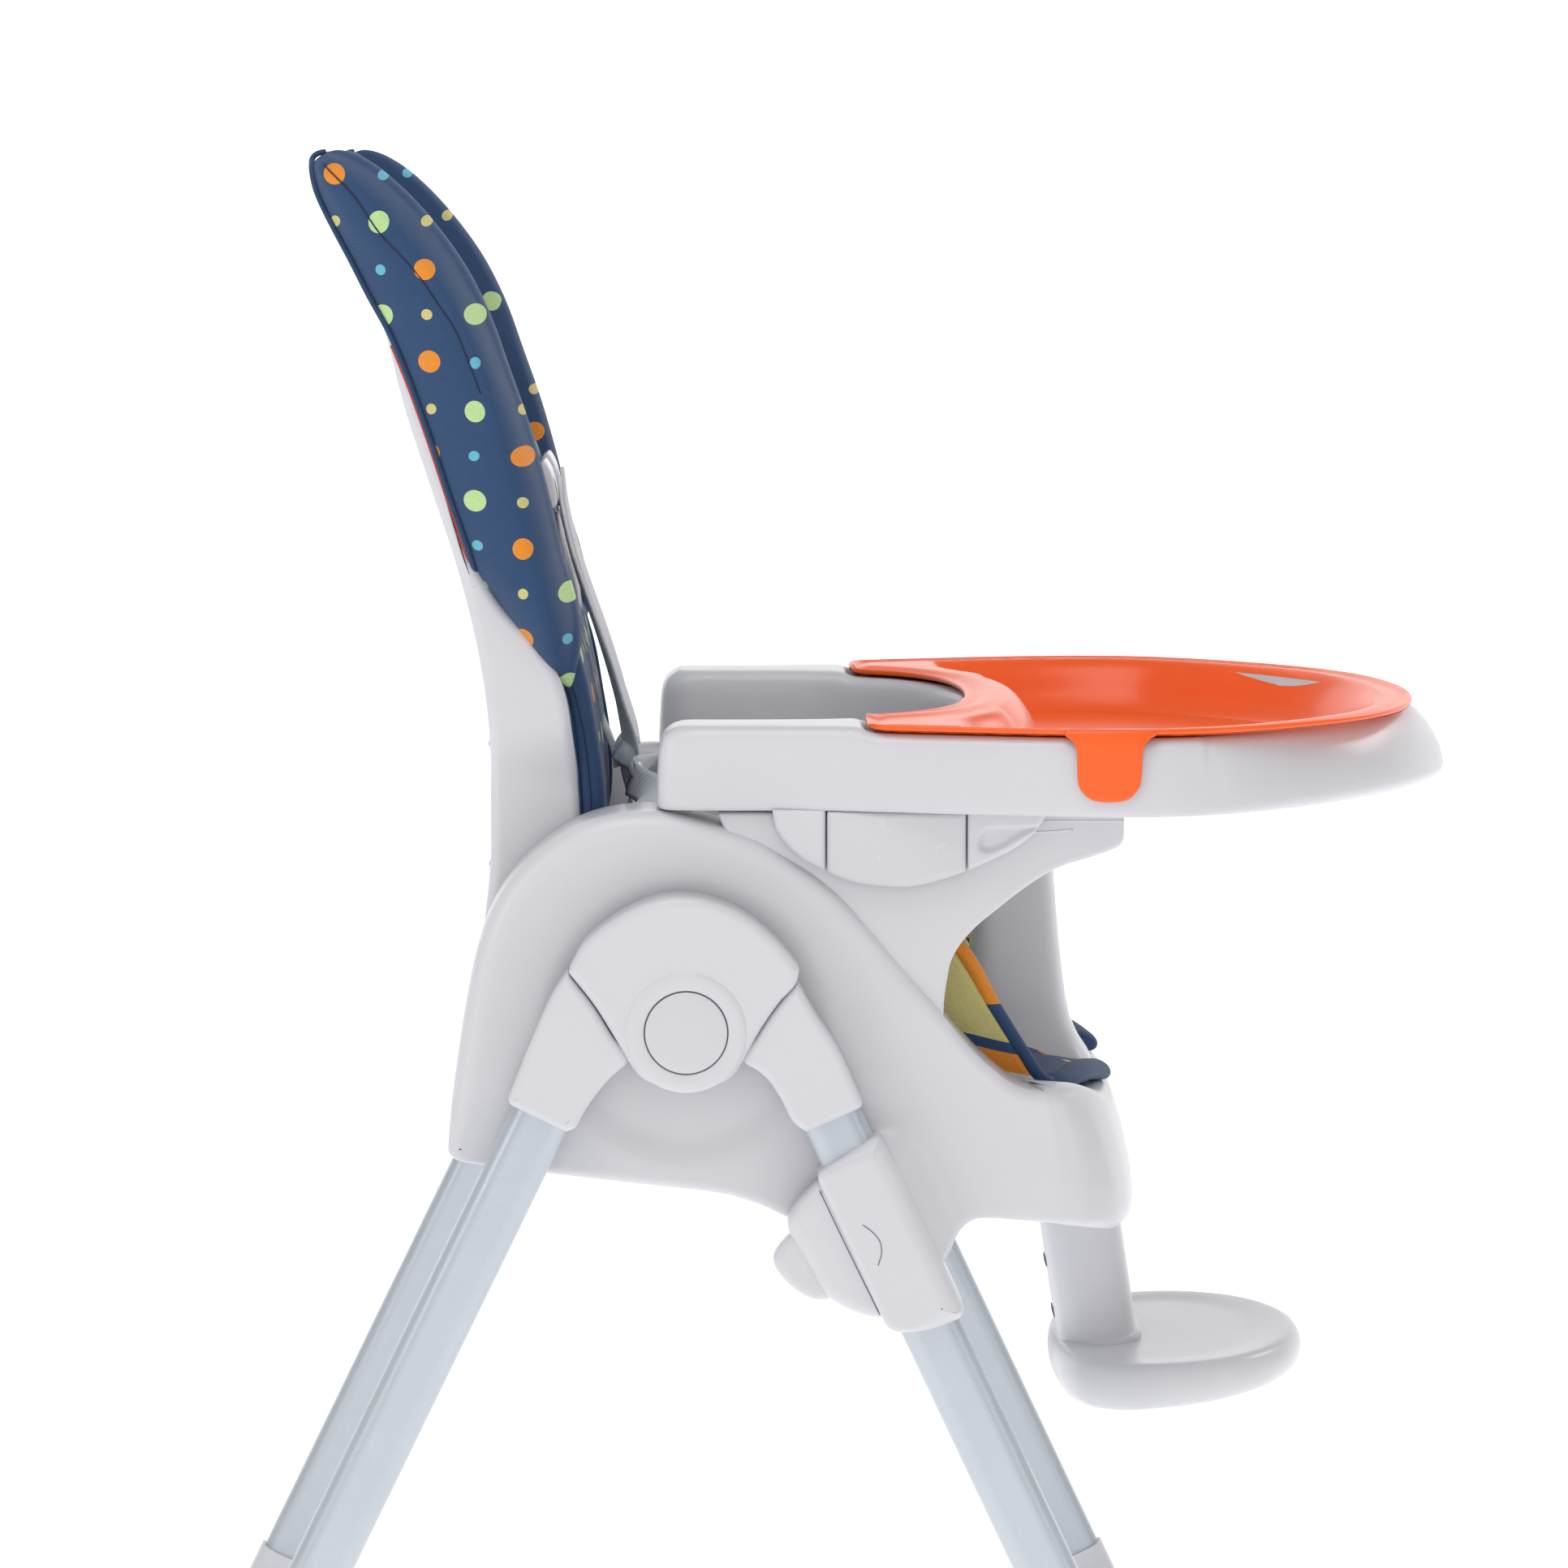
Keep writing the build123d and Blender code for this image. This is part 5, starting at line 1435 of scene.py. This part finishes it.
def make_wings():
    m = len(WLOOPS[0])
    n = len(WLOOPS)
    V = [(x, -y, z) for lp in WLOOPS for x, y, z in lp]
    F = []
    for i in range(n - 1):
        for k in range(m):
            kk = (k + 1) % m
            F.append([i * m + k, i * m + kk, (i + 1) * m + kk, (i + 1) * m + k])
    F.append(list(range(m)))
    F.append([(n - 1) * m + k for k in range(m)])
    ob = build("back_wing_right", V, F, PRINTT, "backrest", uv=wing_uv, slot="print_fabric")
    pinned = []
    for i, v in enumerate(ob.data.vertices):
        pass
    # sewn lines: both ends, the rear edge, and the front edge
    idx = {}
    co = np.array([v.co for v in ob.data.vertices])
    P = (np.array(V) + np.array([SX, 0, 0])) / 1000
    keep = []
    for i in range(n):
        for k in range(m):
            us = WST[i][4]
            near_seam = abs(k / (NU - 1) - us) < 0.5 / (NU - 1) and i > n * 0.38
            if i < 2 or i > n - 3 or k in (0, m - 1, m - 2, NU + 2) or near_seam:
                keep.append(P[i * m + k])
    keep = np.array(keep)
    for i in range(0, len(co)):
        if np.min(((keep - co[i]) ** 2).sum(1)) < 1e-10:
            pinned.append(i)
    inflate(ob, pinned, cap=4.5, pressure=3.0)
    co = np.array([v.co for v in ob.data.vertices]) * 1000 - np.array([SX, 0, 0])
    # pull the seam in a little, with a pucker part way down
    out = co.copy()
    seam = []
    for i in range(n):
        us = WST[i][4]
        t = i / (n - 1)
        if t > 0.36 and WST[i][1] + (WST[i][3] - WST[i][1]) * us > 952:
            f = us
            xr, zr, xf, zf, _ = WST[i]
            seam.append((xr + (xf - xr) * f, zr + (zf - zr) * f, t))
    sx = np.array([(a, b) for a, b, _ in seam])
    outer = co[:, 1] < -153
    d = dist_to(co[:, [0, 2]], sx, closed=False)
    out[:, 1] += np.where(outer, 1.8 * np.exp(-(d / 3.6) ** 2), 0)
    px, pz = -174.0, 1028.0
    dp = np.hypot(co[:, 0] - px, co[:, 2] - pz)
    out[:, 1] += np.where(outer, 2.2 * np.exp(-(dp / 9.0) ** 2), 0)
    ob.data.vertices.foreach_set("co", ((out + np.array([SX, 0, 0])) / 1000).ravel())
    ob.data.update()
    # mirrored twin
    me = ob.data.copy()
    me.name = "back_wing_left"
    c2 = np.zeros(len(me.vertices) * 3)
    me.vertices.foreach_get("co", c2)
    c2 = c2.reshape(-1, 3)
    c2[:, 1] *= -1
    me.vertices.foreach_set("co", c2.ravel())
    me.flip_normals()
    tw = bpy.data.objects.new("back_wing_left", me)
    bpy.context.scene.collection.objects.link(tw)
    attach(tw, "backrest")
    for o in (ob, tw):
        subdivide(o, 2)
    # seam thread and piping follow the pad
    surf = out[outer]

    def on_surface(x, z, lift):
        d2 = (surf[:, 0] - x) ** 2 + (surf[:, 2] - z) ** 2
        o = np.argsort(d2)[:4]
        w = 1 / (d2[o] + 1.0)
        return float((surf[o, 1] * w).sum() / w.sum()) - lift
    line = [(a, on_surface(a, b, 0.1), b) for a, b, t in seam if t < 0.985]
    line = resample(np.array(line), n=70, closed=False)
    rear = [(xr - 0.6, -(152 + 25.5 * 1.0 * min(1, 0.45 + 3 * (1 - i / (n - 1)))), zr) for i, (xr, zr, xf, zf, us) in enumerate(WST)]
    rear = [tuple(loop[0]) for loop in WLOOPS]
    rear = [(x - 0.8, -y - 0.2, z) for x, y, z in rear]
    x, y, z = rear[-1]
    rear += [(x + 1.6, y + 0.6, z + 3.0), (x + 5.0, y + 1.2, z + 4.8), (x + 9.0, y + 2.0, z + 5.2)]
    low = [(x, -y, z - 0.5) for x, y, z in [WLOOPS[0][k] for k in range(0, NU)]]
    path = resample(np.array(list(reversed(low))[:-1] + rear), n=150, closed=False)
    top = [(x, -y, z + 0.4) for x, y, z in [WLOOPS[-1][k] for k in range(0, NU)]]
    for side in ("right", "left"):
        tube("wing_seam_" + side, line, 0.55, STITCH, "backrest", n=6, side=side, slot="print_fabric")
        tube("wing_piping_" + side, path, 1.9, NAVYC, "backrest", n=10, side=side, slot="print_fabric")
        cor = path.copy()
        cor[:, 0] -= 1.5
        cor[:, 1] += 2.6
        cor[:, 2] -= 0.8
        tube("wing_coral_" + side, cor[10:96], 1.6, CORALC, "backrest", n=8, side=side, slot="print_fabric")


make_wings()

# --- back pad between the wings
BP_F = [(532, -77), (562, -63), (600, -57), (660, -56), (720, -58), (780, -70), (839, -88), (892, -100), (945, -116), (995, -139), (1040, -160), (1072, -182), (1096, -206), (1109, -222)]
BP_R = [(532, -121), (562, -121), (600, -121), (660, -118), (720, -119), (780, -125), (839, -139), (892, -156), (945, -173), (995, -187), (1012, -202), (1040, -214), (1072, -230), (1096, -238), (1109, -239)]


def back_pad():
    zs = np.array([533, 540, 556, 580, 610, 640, 670, 700, 730, 760, 790, 820, 850, 880, 910, 940, 970, 1000, 1026, 1050, 1070, 1088, 1100, 1106.5, 1110], float)
    V, F = [], []
    m = 40
    for i, z in enumerate(zs):
        xf = float(np.interp(z, [a for a, b in BP_F], [b for a, b in BP_F]))
        xr = float(np.interp(z, [a for a, b in BP_R], [b for a, b in BP_R]))
        hy = 151.0 if z > 700 else 148.5
        e = float(smooth(1112, 1096, np.array(z)) * smooth(531, 546, np.array(z)))
        hx = (xf - xr) / 2 * (0.35 + 0.65 * e)
        cx = (xf + xr) / 2 - (xf - xr) / 2 * 0.3 * (1 - e)
        for k in range(m):
            a = 2 * math.pi * (k + 0.5) / m
            c, s = math.cos(a), math.sin(a)
            x = cx + hx * math.copysign(abs(c) ** 0.22, c)
            y = hy * math.copysign(abs(s) ** 0.42, s)
            if c > 0:
                # two soft vertical channels and a head seam in the front
                x -= 3.2 * math.exp(-((abs(y) - 92) / 7.0) ** 2) + 2.6 * math.exp(-((z - 930) / 8.0) ** 2) * (abs(y) < 120)
            V.append((x, y, z))
    n = len(zs)
    for i in range(n - 1):
        for k in range(m):
            kk = (k + 1) % m
            F.append([i * m + k, i * m + kk, (i + 1) * m + kk, (i + 1) * m + k])
    F.append(list(range(m)))
    F.append([(n - 1) * m + k for k in range(m)])
    ob = build("back_pad", V, F, PRINTT, "backrest", uv=lambda x, y, z: (y * 1.0 + 105, z * 0.98), replaces=("backrest_cushion",), slot="print_fabric")
    co = np.array([v.co for v in ob.data.vertices]) * 1000 - np.array([SX, 0, 0])
    pinned = [i for i, c in enumerate(co) if c[0] < np.interp(c[2], [a for a, b in BP_R], [b for a, b in BP_R]) + 9 or c[2] > 1094 or c[2] < 545
              or abs(abs(c[1]) - 92) < 6 or abs(c[2] - 940) < 3]
    inflate(ob, pinned, cap=4.0, pressure=2.5)
    subdivide(ob, 2)


back_pad()

# --- side strips of the cover, in front of the shell's cheeks
STRIP = outline([("s", [(-86, 772), (-79.2, 759), (-73.5, 728), (-69.8, 700), (-68.3, 675), (-69.5, 630)]), ("p", [(-58, 628)]),
                 ("s", [(-52.5, 660), (-53.5, 700), (-58.5, 733), (-64, 764), (-72, 792)]), ("p", [(-82, 790)])], 2.2, 1.6)
BANDS = NAVYC
plate("back_strip", STRIP, 140, 158.5, BANDS, "backrest", r0=0.5, r1=5.5, K=6, uv=lambda x, y, z: (x, z + 0.16 * (x + 70)), slot="print_fabric")
for side in ("right", "left"):
    tube("strip_seam_" + side, [(x, -158.7, z) for x, z in hermite([(-80, 782), (-73.4, 760), (-67.0, 733), (-63.0, 700), (-61.8, 675), (-62.6, 650)], 3)], 0.45, STITCH, "backrest",
         n=6, side=side, slot="print_fabric")
    tube("strip_edge_" + side, [(x, -157.0, z) for x, z in hermite([(-81.5, 768), (-75.2, 742), (-71.4, 712), (-69.4, 690), (-69.2, 660)], 3)], 1.0, NAVYC, "backrest",
         n=8, side=side, slot="print_fabric")

# --- seat cushion
def seat_pad():
    n = 64
    V, F = [], []
    rings = [(0.90, 483.5), (0.985, 485.5), (1.0, 490), (1.0, 496), (0.985, 500.5), (0.94, 503.0), (0.84, 504.2), (0.62, 504.6), (0.38, 504.2), (0.15, 504.0)]
    for s_, z in rings:
        for i in range(n):
            a = 2 * math.pi * i / n
            c, s = math.cos(a), math.sin(a)
            x = 82 + 166 * s_ * math.copysign(abs(c) ** 0.28, c)
            y = 157 * s_ * math.copysign(abs(s) ** 0.28, s)
            V.append((x, y, z + 0.5 * (x > 200) * 4 * smooth(200, 250, np.array(x))))
    m = len(rings)
    for k in range(m - 1):
        for i in range(n):
            j = (i + 1) % n
            F.append([k * n + i, k * n + j, (k + 1) * n + j, (k + 1) * n + i])
    F.append(list(range(n)))
    F.append([(m - 1) * n + i for i in range(n)])
    ob = build("seat_pad", V, F, PRINTT, "seat", uv=lambda x, y, z: (x * 0.9 + 30, y * 0.9), replaces=("seat_cushion",), slot="print_fabric")
    co = np.array([v.co for v in ob.data.vertices]) * 1000 - np.array([SX, 0, 0])
    pinned = [i for i, c in enumerate(co) if c[2] < 498]
    inflate(ob, pinned, cap=3.0, pressure=2.0)
    subdivide(ob, 2)


seat_pad()
WALLP = band_print("fabric_print_wall", [(-1e4, LININGC and lin(220, 220, 224)), (0.0, ORANGE), (13.0, NAVY), (20.0, KHAKI)])
WALL = outline([("p", [(-40, 486), (232, 486), (240.5, 491.5), (226, 508), (203.5, 545), (176.6, 588), (170, 597), (120, 612), (40, 628), (-30, 634)])], 3.0, 3.0)
plate("seat_wall", WALL, 150, 162.5, WALLP, "seat", r0=2.0, r1=4.5, uv=lambda x, y, z: (x, (z - 503) + 0.20 * (x - 200) - 7.0), slot="print_fabric")


FLAPP = PRINTT
PIPE = band_print("fabric_print_pipe", [(-1e4, NAVY), (553.0, ORANGE)])
LIPP = NAVYC
for side in ("right", "left"):
    top_path = hermite([(-30, -157, 634), (40, -157, 628), (120, -157, 613), (160, -157.5, 602), (178, -158, 590), (203.5, -158, 548), (224, -157.5, 515), (233, -157.5, 502), (237.5, -156, 498.0)], 4.0)
    tube("seat_piping_" + side, top_path, 5.2, PIPE, "seat", n=14, side=side, uv=lambda x, y, z: (x, z), slot="print_fabric", sub=1)
    lip_path = hermite([(235, -158, 500.5), (239.5, -155.5, 497.0), (247, -145, 497.4), (257, -122, 498.2), (268, -92, 496.4), (277, -66, 492.4), (280, -54, 490.5)], 3.0)
    rr = np.interp(np.arange(len(lip_path)), [0, 4, len(lip_path) - 3, len(lip_path) - 1], [5.0, 7.4, 8.2, 6.0])
    tube("seat_lip_" + side, lip_path, rr, LIPP, "seat", n=18, side=side, uv=lambda x, y, z: (abs(y), z), slot="print_fabric", sub=1, squash_=(1.25, 0.82))
    # flap of the pad behind the lip
    V, F = [], []
    nu, nv = 14, 10
    for lev in (0, 1):
        for i in range(nu):
            u = i / (nu - 1)
            y = -158 + 106 * u
            xe = float(np.interp(-y, [52, 92, 122, 144, 158], [280, 267, 256, 246, 237]))
            ze = float(np.interp(-y, [52, 92, 122, 144, 158], [494, 500, 502, 502, 502]))
            for j in range(nv):
                v = j / (nv - 1)
                x = 205 + (xe - 205) * v
                z = 503.5 + (ze + 2.0 - 503.5) * smooth(0, 1, v) + 4.5 * math.sin(math.pi * v) * math.sin(math.pi * min(1, u * 0.95 + 0.05))
                V.append((x, y, z - 6.0 * (1 - lev)))
    N0 = nu * nv
    for i in range(nu - 1):
        for j in range(nv - 1):
            a = i * nv + j
            F.append([N0 + a, N0 + a + 1, N0 + a + nv + 1, N0 + a + nv])
            F.append([a, a + nv, a + nv + 1, a + 1])
    rim = [i * nv for i in range(nu)] + [(nu - 1) * nv + j for j in range(1, nv)] + [i * nv + nv - 1 for i in range(nu - 2, -1, -1)] + [j for j in range(nv - 2, 0, -1)]
    for a, b in zip(rim, rim[1:] + rim[:1]):
        F.append([a, b, b + N0, a + N0])
    ob = build("seat_flap_" + side, V, F, FLAPP, "seat", side=side, uv=lambda x, y, z: (x, abs(y)), slot="print_fabric", sub=2)

# ------------------------------------------------------------------ harness
for side in ("right", "left"):
    path = hermite([(-84.5, -50, 893), (-82.5, -50, 872), (-77, -49.5, 846), (-68.5, -48, 818), (-58.5, -46, 789), (-50, -43, 762), (-43, -39, 736), (-38.0, -33, 714), (-37, -26, 702)], 6.0)
    n = len(path)
    wd = []
    for i in range(n):
        t = i / (n - 1)
        a = math.radians(np.interp(t, [0, 0.1, 0.5, 0.8, 1.0], [0, 3, 9, 14, 30]))
        wd.append((-math.sin(a) * 0.9, math.cos(a), -0.25 * math.sin(a)))
    ob = ribbon("shoulder_strap_" + side, path, wd, 24.0, 2.6, WEB, None, side=side, n_w=8, replaces=(("shoulder_straps",) if side == "right" else ()), slot="webbing_white")
    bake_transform(ob)
    p2 = hermite([(-86.5, -33, 868), (-81.5, -32, 842), (-75.5, -31, 816), (-73.0, -30, 800), (-72.3, -29, 780), (-69.5, -28, 760), (-64.5, -27, 742), (-57.5, -25, 724), (-49.5, -23, 706), (-46.0, -22, 694)], 3.5)
    n2 = len(p2)
    wd2 = []
    for i in range(n2):
        a = 2.2 * math.pi * i / (n2 - 1)
        wd2.append((math.sin(a), math.cos(a), 0.25 * math.sin(a)))
    ob = ribbon("shoulder_strap_lower_" + side, p2, wd2, np.interp(np.linspace(0, 1, n2), [0, 0.1, 0.9, 1], [10, 5.4, 5.4, 8]), 2.6, WEB, None, side=side, n_w=4, slot="webbing_white")
    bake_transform(ob)
    # slot guide on the back pad
    G1 = outline([("s", [(-98, 901), (-94, 904.5), (-90.5, 900), (-87.2, 890), (-85.6, 880), (-86.0, 874), (-89.5, 872.5), (-92.5, 880), (-95, 890)])], 1.2, 1.0)
    shell_solid("strap_guide_" + side, G1, [(1.6, -76), (0.4, -77.4), (0.0, -77.6)][::-1][:0] or [(1.5, 24.0), (0.4, 24.6), (0.0, 26.0), (0.0, 74.0), (0.4, 75.4), (1.5, 76.0)], WHITE2, "backrest",
                to3=yside, caps=("n", "n"), side=side, replaces=(("strap_guides",) if side == "right" else ()), slot="shell_white")

# buckle and adjusters
def rbox(name, c, h, e, mat, body, ang=0.0, side=None, sub=2, **kw):
    """Rounded block: centre, half sizes, corner tightness, turned about Y."""
    bm = bmesh.new()
    bmesh.ops.create_cube(bm, size=2.0)
    bmesh.ops.subdivide_edges(bm, edges=bm.edges, cuts=4, use_grid_fill=True)
    V, idx = [], {}
    for i, v in enumerate(bm.verts):
        idx[v] = i
        q = np.array(v.co)
        m = np.abs(q).max()
        d = q / np.linalg.norm(q) if np.linalg.norm(q) > 0 else q
        s = q * (1 - e) + d * e * 1.12
        x, y, z = s * np.array(h)
        ca, sa = math.cos(ang), math.sin(ang)
        V.append((c[0] + x * ca - z * sa, c[1] + y, c[2] + x * sa + z * ca))
    F = [[idx[v] for v in f.verts] for f in bm.faces]
    bm.free()
    return build(name, V, F, mat, body, side=side, sub=sub, **kw)


rbox("buckle_body", (-36.5, 0, 686), (6.5, 25, 13.5), 0.35, CLEAR, "seat", ang=math.radians(14), replaces=("harness_buckle",), slot="buckle_clear")
rbox("buckle_press", (-31.0, 0, 688), (2.6, 11, 6.5), 0.5, WHITE2, "seat", ang=math.radians(14), slot="buckle_clear")
for side in ("right", "left"):
    rbox("strap_adjuster_" + side, (-41.0, -26, 704.5), (7.0, 13, 8.5), 0.4, CLEAR, "seat", ang=math.radians(-32), side=side, slot="buckle_clear")
    rbox("strap_adjuster_tongue_" + side, (-35.0, -24, 690), (2.6, 9, 13), 0.4, CLEAR, "seat", ang=math.radians(28), side=side, slot="buckle_clear")
    wp = hermite([(-38, -24, 686), (-30, -48, 684), (-24, -80, 684), (-26, -112, 676), (-34, -136, 640), (-44, -143, 560), (-52, -140, 512)], 6.0)
    wd = [(0.25, 0.0, 1.0)] * 8 + [(0.9, 0.1, 0.4)] * (len(wp) - 8)
    wd = np.array(wd)
    wd = np.array([np.mean(wd[max(0, i - 4):i + 5], axis=0) for i in range(len(wp))])
    ribbon("waist_strap_" + side, wp, wd, 23.0, 1.8, MESH, "seat", side=side, n_w=6, replaces=(("waist_straps",) if side == "right" else ()), slot="webbing_white")
cp = hermite([(-38, 0, 676), (-33, 0, 655), (-24, 0, 628), (-6, 0, 592), (24, 0, 552), (58, 0, 520), (84, 0, 508), (96, 0, 506)], 5.0)
ribbon("crotch_strap_web", cp, [(0, 1, 0)] * len(cp), 38.0, 2.0, WEB, "seat", n_w=8, replaces=("crotch_strap",), slot="webbing_white")

# ------------------------------------------------------------------ carried-over CAD pieces
for name, mat in ([("front_leg_", SILVER), ("rear_leg_", SILVER), ("front_foot_", WHITE), ("rear_foot_", WHITE)]):
    for side in ("right", "left"):
        o = N_[name + side]
        o.data.materials.clear()
        o.data.materials.append(mat)
for name, mat in (("front_crossbar", SILVER), ("rear_crossbar", SILVER), ("front_foot_pads", RUBBER), ("rear_foot_pads", RUBBER), ("hinge_pivots", STEEL), ("backrest_pivots", STEEL)):
    o = N_[name]
    o.data.materials.clear()
    o.data.materials.append(mat)

# ------------------------------------------------------------------ stage, light, camera
sc = bpy.context.scene
V, F = [], []
ys = [-14.0, 8.0, 9.0, 9.7, 10.1, 10.3, 10.35, 10.35]
zs = [0.0, 0.0, 0.05, 0.2, 0.45, 0.8, 1.3, 5.0]
for y, z in zip(ys, zs):
    V += [(-14.0, y, z), (14.0, y, z)]
F = [[2 * i, 2 * i + 1, 2 * i + 3, 2 * i + 2] for i in range(len(ys) - 1)]
me = bpy.data.meshes.new("floor")
me.from_pydata(V, [], F)
for p in me.polygons:
    p.use_smooth = True
floor = bpy.data.objects.new("floor", me)
sc.collection.objects.link(floor)
fm = Nodes("floor_white")
fn = fm.noise(3.0, 3.0)
fm.link(fm.mix(fm.ramp(fn, 0.3, 0.7, 0, 1), (0.93, 0.93, 0.93), (0.90, 0.90, 0.905)), fm.b.inputs["Base Color"])
fm.b.inputs["Roughness"].default_value = 0.8
fm.b.inputs["Emission Color"].default_value = (1, 1, 1, 1)
fm.b.inputs["Emission Strength"].default_value = 0.66
me.materials.append(fm.mat)

world = bpy.data.worlds.new("studio")
sc.world = world
world.use_nodes = True
bg = world.node_tree.nodes["Background"]
bg.inputs[0].default_value = (0.985, 0.988, 1.0, 1)
bg.inputs[1].default_value = 0.42


def area(name, loc, target, size, power, size_y=None, color=(1, 1, 1)):
    d = bpy.data.lights.new(name, "AREA")
    d.shape = "RECTANGLE"
    d.size = size
    d.size_y = size_y or size
    d.energy = power
    d.color = color
    o = bpy.data.objects.new(name, d)
    sc.collection.objects.link(o)
    o.location = loc
    o.rotation_euler = (Vector(target) - Vector(loc)).to_track_quat("-Z", "Y").to_euler()
    return o


area("key_top", (-0.3, -0.9, 2.8), (0, 0, 0.7), 1.5, 20)
area("fill_left", (-2.4, -1.8, 1.8), (0, 0, 0.8), 1.0, 15, 2.2)
area("fill_front", (-0.3, -4.2, 2.0), (0, 0, 0.7), 2.6, 15)
area("fill_right", (2.4, -1.6, 1.4), (0.1, 0, 0.7), 0.8, 6, 2.2)
area("back_wash", (0.0, 3.4, 3.2), (0, 5.0, 0.0), 3.0, 30)
area("rim_right", (1.8, 1.2, 1.9), (0.2, 0, 0.8), 0.8, 10)

cam = bpy.data.cameras.new("camera")
cam.lens = 130
cam.sensor_width = 36
cam.clip_end = 50
co = bpy.data.objects.new("camera", cam)
sc.collection.objects.link(co)
co.location = ((0.093 + SX) / 1000, -3.848, 1.11133)
co.rotation_euler = (math.radians(90 - 6.40358), 0, math.radians(-1.0))
sc.camera = co
sc.view_settings.view_transform = "Standard"

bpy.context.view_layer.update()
